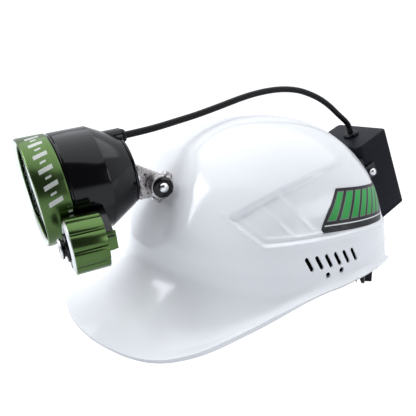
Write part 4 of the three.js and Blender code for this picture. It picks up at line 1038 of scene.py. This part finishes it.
for word, side in (("left", 1), ("right", -1)):
    dome_nut = turned([(0, 0), (3.6, 0), (3.6, 2.2), (3.3, 3.2), (2.6, 4.1), (1.5, 4.7), (0, 4.9)], 40, 0.1)
    turn_out = Matrix.Rotation(-side * math.pi / 2, 4, "Z")
    place = BOX @ Matrix.Translation((side * (EAR_X + 2.15), -34, -26)) @ turn_out
    finish_piece("cap_nut_dome_" + word, dome_nut, place, "cap", polished_dome, "steel", "bracket_cap_nut_" + word)

# %% [markdown]
# ## Suspension
# Inside the cap a headband follows the head's oval, two straps cross over the crown, and a nape strap with a ratchet
# knob closes the back. A band is a small grid whose columns run round the oval, given its thickness by `solidify`.
# The foam pads are the same kind of grid, but swollen between their edges and quilted with shallow channels.

# %% Bands
BAND = dict(half_width=83, half_length=98, y=2, low=20, high=44)
NAPE_LOW, NAPE_HIGH, NAPE_REACH = -20.2, -4.6, 0.9


def oval_band(grow, thickness, first, last, heights, columns, rows=6, swell=None):
    whole = last - first > 6.28
    band = bmesh.new()
    bmesh.ops.create_grid(band, x_segments=columns, y_segments=rows, size=0.5)
    spots = {v: (first + (last - first) * (v.co.x + 0.5), v.co.y + 0.5) for v in band.verts}
    for vertex, (angle, w) in spots.items():
        low, high = heights(angle)
        vertex.co = (
            (BAND["half_width"] + grow) * math.sin(angle), BAND["y"] - (BAND["half_length"] + grow) * math.cos(angle),
            low + (high - low) * w,
        )
    if whole:
        bmesh.ops.remove_doubles(band, verts=band.verts, dist=0.01)
    bmesh.ops.recalc_face_normals(band, faces=band.faces)
    centres = {f: f.calc_center_median() for f in band.faces}
    if sum(f.normal.dot(c - Vector((0, BAND["y"], c.z))) for f, c in centres.items()) < 0:
        bmesh.ops.reverse_faces(band, faces=band.faces)
    band.normal_update()
    directions = {v: v.normal.copy() for v in band.verts}
    if swell is None:
        bmesh.ops.solidify(band, geom=band.faces, thickness=-thickness)
        bmesh.ops.recalc_face_normals(band, faces=band.faces)
        return soften(band, min(0.4, thickness / 4), 2, 50)
    outer = bmesh.ops.duplicate(band, geom=band.verts[:] + band.edges[:] + band.faces[:])
    twin = {a: b for a, b in outer["vert_map"].items() if a in spots}
    for vertex, (angle, w) in spots.items():
        bulge = swell((angle - first) / (last - first), w)
        middle = vertex.co + directions[vertex] * thickness / 2
        vertex.co = middle - directions[vertex] * thickness / 2 * bulge
        twin[vertex].co = middle + directions[vertex] * thickness / 2 * bulge
    bmesh.ops.remove_doubles(band, verts=band.verts, dist=0.02)
    bmesh.ops.recalc_face_normals(band, faces=band.faces)
    return band


def flat(low, high):
    return lambda angle: (low, high)


def nape_heights(angle):
    away = abs(angle - math.pi)
    arm = smooth(away, NAPE_REACH - 0.14, NAPE_REACH - 0.02)
    rise = 13 * smooth(away, 0.6, NAPE_REACH)
    return NAPE_LOW + rise, NAPE_HIGH + rise + (BAND["high"] - 6 - NAPE_HIGH - rise) * arm


band_shape = oval_band(0, 2, 0, 2 * math.pi, flat(BAND["low"], BAND["high"]), 144, 4)
finish_piece("headband_moulding", band_shape, CAP, "cap", grey_plastic, "grey_plastic", "headband")
nape_shape = oval_band(2.5, 2.2, math.pi - NAPE_REACH, math.pi + NAPE_REACH, nape_heights, 90, 6)
finish_piece("nape_strap_moulding", nape_shape, CAP, "cap", grey_plastic, "grey_plastic", "nape_strap")


# %% Foam pads
def quilted(channels):
    def swell(along, w):
        rounded = (max(0.0, 1 - (2 * w - 1) ** 2) ** 0.35) * (max(0.0, 1 - (2 * along - 1) ** 6) ** 0.5)
        gap = min(abs(along * channels - k) for k in range(1, channels))
        return rounded * (1 - 0.3 * math.exp(-((gap / 0.07) ** 2)))

    return swell


brow = oval_band(-4.4, 4, -1.0, 1.0, flat(BAND["low"] - 3, BAND["high"] + 1), 140, 18, quilted(7))
brow_piece = finish_piece("brow_pad_foam", brow, CAP, "cap", foam, "foam", "brow_pad")
nape = oval_band(-5.6, 7.7, math.pi - 0.6, math.pi + 0.6, flat(NAPE_LOW, NAPE_HIGH), 110, 16, quilted(5))
nape_piece = finish_piece("nape_pad_foam", nape, CAP, "cap", foam, "foam", "nape_pad")

# %% Ratchet
RATCHET_REACH, RATCHET_Z = 0.58, -11.8
HOUSING_INSIDE, HOUSING_THICKNESS = 5.05, 7.6
housing = oval_band(
    HOUSING_INSIDE, HOUSING_THICKNESS, math.pi - RATCHET_REACH, math.pi + RATCHET_REACH,
    flat(NAPE_LOW, NAPE_HIGH + 1.4), 60, 4,
)
housing = soften(housing, 1.0, 3, 50)
finish_piece("ratchet_housing_moulding", housing, CAP, "cap", black_plastic, "black_plastic", "ratchet_housing")
housing_back = BAND["y"] + BAND["half_length"] + HOUSING_INSIDE + HOUSING_THICKNESS
grip = extruded(lobes(9.2, 8.2, 12, 8), 8)
grip = put(soften(grip, 0.7, 3, 60), Matrix.Translation((0, housing_back + 0.4, RATCHET_Z)))
stub = turned([(0, 0), (3, 0), (3, HOUSING_THICKNESS), (0, HOUSING_THICKNESS)], 32, 0.1)
stub = put(stub, Matrix.Translation((0, housing_back - 6.3, RATCHET_Z)))
ratchet_shape = joined(grip, stub)
finish_piece("ratchet_knob_grip", ratchet_shape, CAP, "ratchet_knob", black_plastic, "black_plastic", "ratchet_knob")


# %% Crown straps and keys
def crown_strap(reach_x, reach_y, top, width):
    strap = bmesh.new()
    bmesh.ops.create_grid(strap, x_segments=60, y_segments=4, size=0.5)
    end = BAND["high"] + 2.5
    for vertex in strap.verts:
        t, across_strap = 2 * vertex.co.x, vertex.co.y * width
        z = end + (top - end) * max(0.0, 1 - t * t) ** 0.75
        x, y = reach_x * t, BAND["y"] + reach_y * t
        vertex.co = (x, y + across_strap, z) if reach_x else (x + across_strap, y, z)
    bmesh.ops.recalc_face_normals(strap, faces=strap.faces)
    bmesh.ops.solidify(strap, geom=strap.faces, thickness=1.3)
    bmesh.ops.recalc_face_normals(strap, faces=strap.faces)
    return soften(strap, 0.25, 2, 50)


STRAP_WIDTH = 20
strap_long, strap_cross = crown_strap(0, 88, 106, STRAP_WIDTH), crown_strap(80, 0, 102.5, STRAP_WIDTH)
finish_piece("crown_strap_front_back", strap_long, CAP, "cap", grey_plastic, "grey_plastic", "crown_strap_long")
finish_piece("crown_strap_sides", strap_cross, CAP, "cap", grey_plastic, "grey_plastic", "crown_strap_cross")
KEYS = [("front", 0, -1), ("back", 0, 1), ("left", 1, 0), ("right", -1, 0)]
for word, x, y in KEYS:
    out = (BAND["half_length"] if y else BAND["half_width"]) + 2.3
    deep = 1.7 if y else 8
    size = (22, deep, 11) if y else (deep, 22, 13)
    key_shape = block(size, (x * (out + deep / 2), BAND["y"] + y * (out + deep / 2), 29), 0, 0.45)
    finish_piece("key_" + word, key_shape, CAP, "cap", black_plastic, "black_plastic", "suspension_key_" + word)

# %% [markdown]
# ## Finishes for the pieces that stay
# Pieces inside the lamp and the box are already the right shape, so they keep their mesh and only get a finish.

# %% Finishes on the frame's own nodes
STAYING = {
    "foot_nut_upper": steel, "foot_nut_lower": steel, "led_board": circuit_board, "heat_sink": aluminium,
    "driver_board": circuit_board, "charge_socket": steel, "battery_cell_left": cell_wrap,
    "battery_cell_right": cell_wrap, "protection_board": circuit_board, "box_screw_upper": steel,
    "box_screw_lower": steel,
}
for name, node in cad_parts.items():
    if node.hide_render:
        continue
    node.data.materials.clear()
    node.data.materials.append(STAYING[name])
print("kept nodes:", sorted(n for n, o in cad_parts.items() if not o.hide_render))

# %% [markdown]
# ## Studio
# The cap stands on a plain white table. A very big soft box hangs above, a small one stands in front of the peak and
# one behind on the wearer's left. A dim room on the camera side gives the black and green metal something dark to
# reflect.

# %% Floor
TABLE_GLOW, TABLE_SHARE = 1.25, 0.9  # how white the table looks to the camera, and how much of it glows
floor_shape = bmesh.new()
bmesh.ops.create_grid(floor_shape, x_segments=1, y_segments=1, size=6)
floor_finish = Finish("white_table", (0.75, 0.76, 0.78), 0.9)
floor_finish.set("Base Color", floor_finish.blend(floor_finish.noise(3, 2), (0.74, 0.75, 0.77), (0.78, 0.79, 0.81)))
glow = floor_finish.nodes.new("ShaderNodeEmission")
glow.inputs["Strength"].default_value = TABLE_GLOW
sight = floor_finish.nodes.new("ShaderNodeLightPath")
share = Signal(floor_finish, sight.outputs["Is Camera Ray"]) * TABLE_SHARE
mixed = floor_finish.nodes.new("ShaderNodeMixShader")
floor_finish.links.new(share.socket, mixed.inputs[0])
floor_finish.links.new(floor_finish.shader.outputs[0], mixed.inputs[1])
floor_finish.links.new(glow.outputs[0], mixed.inputs[2])
floor_finish.links.new(mixed.outputs[0], floor_finish.nodes["Material Output"].inputs["Surface"])
floor = link_piece("table", floor_shape, floor_finish.material)

# %% Soft boxes
LIGHT_COLOR = (0.95, 0.97, 1.0)
SOFT_BOXES = {
    "soft_box_top": dict(place=(-0.05, 0.05, 1.3), aim=(0, 0, 0.05), size=(2.3, 2.0), watts=17),
    "soft_box_left": dict(place=(-0.35, -1.1, 0.75), aim=(0, 0, 0.08), size=(0.6, 0.8), watts=10.5),
    "soft_box_right": dict(place=(1.2, 0.75, 0.5), aim=(0, 0.05, 0.06), size=(0.9, 0.6), watts=4.5),
}


def soft_box(name, place, aim, size, watts):
    light = bpy.data.lights.new(name, "AREA")
    light.shape, light.size, light.size_y, light.energy = "RECTANGLE", size[0], size[1], watts
    light.color = LIGHT_COLOR
    lamp = bpy.data.objects.new(name, light)
    bpy.context.scene.collection.objects.link(lamp)
    lamp.location = place
    lamp.rotation_euler = (Vector(aim) - Vector(place)).to_track_quat("-Z", "Y").to_euler()


for name, setting in SOFT_BOXES.items():
    soft_box(name, **setting)

# %% Room: bright behind the cap, dim on the camera's side
TOWARDS_CAMERA = (0.83, -0.55, -0.25)
BRIGHT_SIDE, DIM_SIDE, BACKDROP = 0.88, 0.10, 1.1
world = bpy.data.worlds.new("studio")
bpy.context.scene.world = world
world.use_nodes = True
room = world.node_tree
background = room.nodes["Background"]
background.inputs["Color"].default_value = (0.93, 0.95, 1.0, 1)
direction = room.nodes.new("ShaderNodeTexCoord")
towards = room.nodes.new("ShaderNodeVectorMath")
towards.operation = "DOT_PRODUCT"
towards.inputs[1].default_value = TOWARDS_CAMERA
room.links.new(direction.outputs["Generated"], towards.inputs[0])
dimmer = room.nodes.new("ShaderNodeMapRange")
dimmer.interpolation_type = "SMOOTHSTEP"
for socket, value in (("From Min", -0.5), ("From Max", 0.5), ("To Min", BRIGHT_SIDE), ("To Max", DIM_SIDE)):
    dimmer.inputs[socket].default_value = value
room.links.new(towards.outputs["Value"], dimmer.inputs["Value"])
room.links.new(dimmer.outputs[0], background.inputs["Strength"])
seen = room.nodes.new("ShaderNodeBackground")
seen.inputs["Color"].default_value = (1, 1, 1, 1)
seen.inputs["Strength"].default_value = BACKDROP
choice = room.nodes.new("ShaderNodeMixShader")
path_kind = room.nodes.new("ShaderNodeLightPath")
room.links.new(path_kind.outputs["Is Camera Ray"], choice.inputs[0])
room.links.new(background.outputs[0], choice.inputs[1])
room.links.new(seen.outputs[0], choice.inputs[2])
room.links.new(choice.outputs[0], room.nodes["World Output"].inputs["Surface"])
bpy.context.scene.view_settings.view_transform = "Standard"
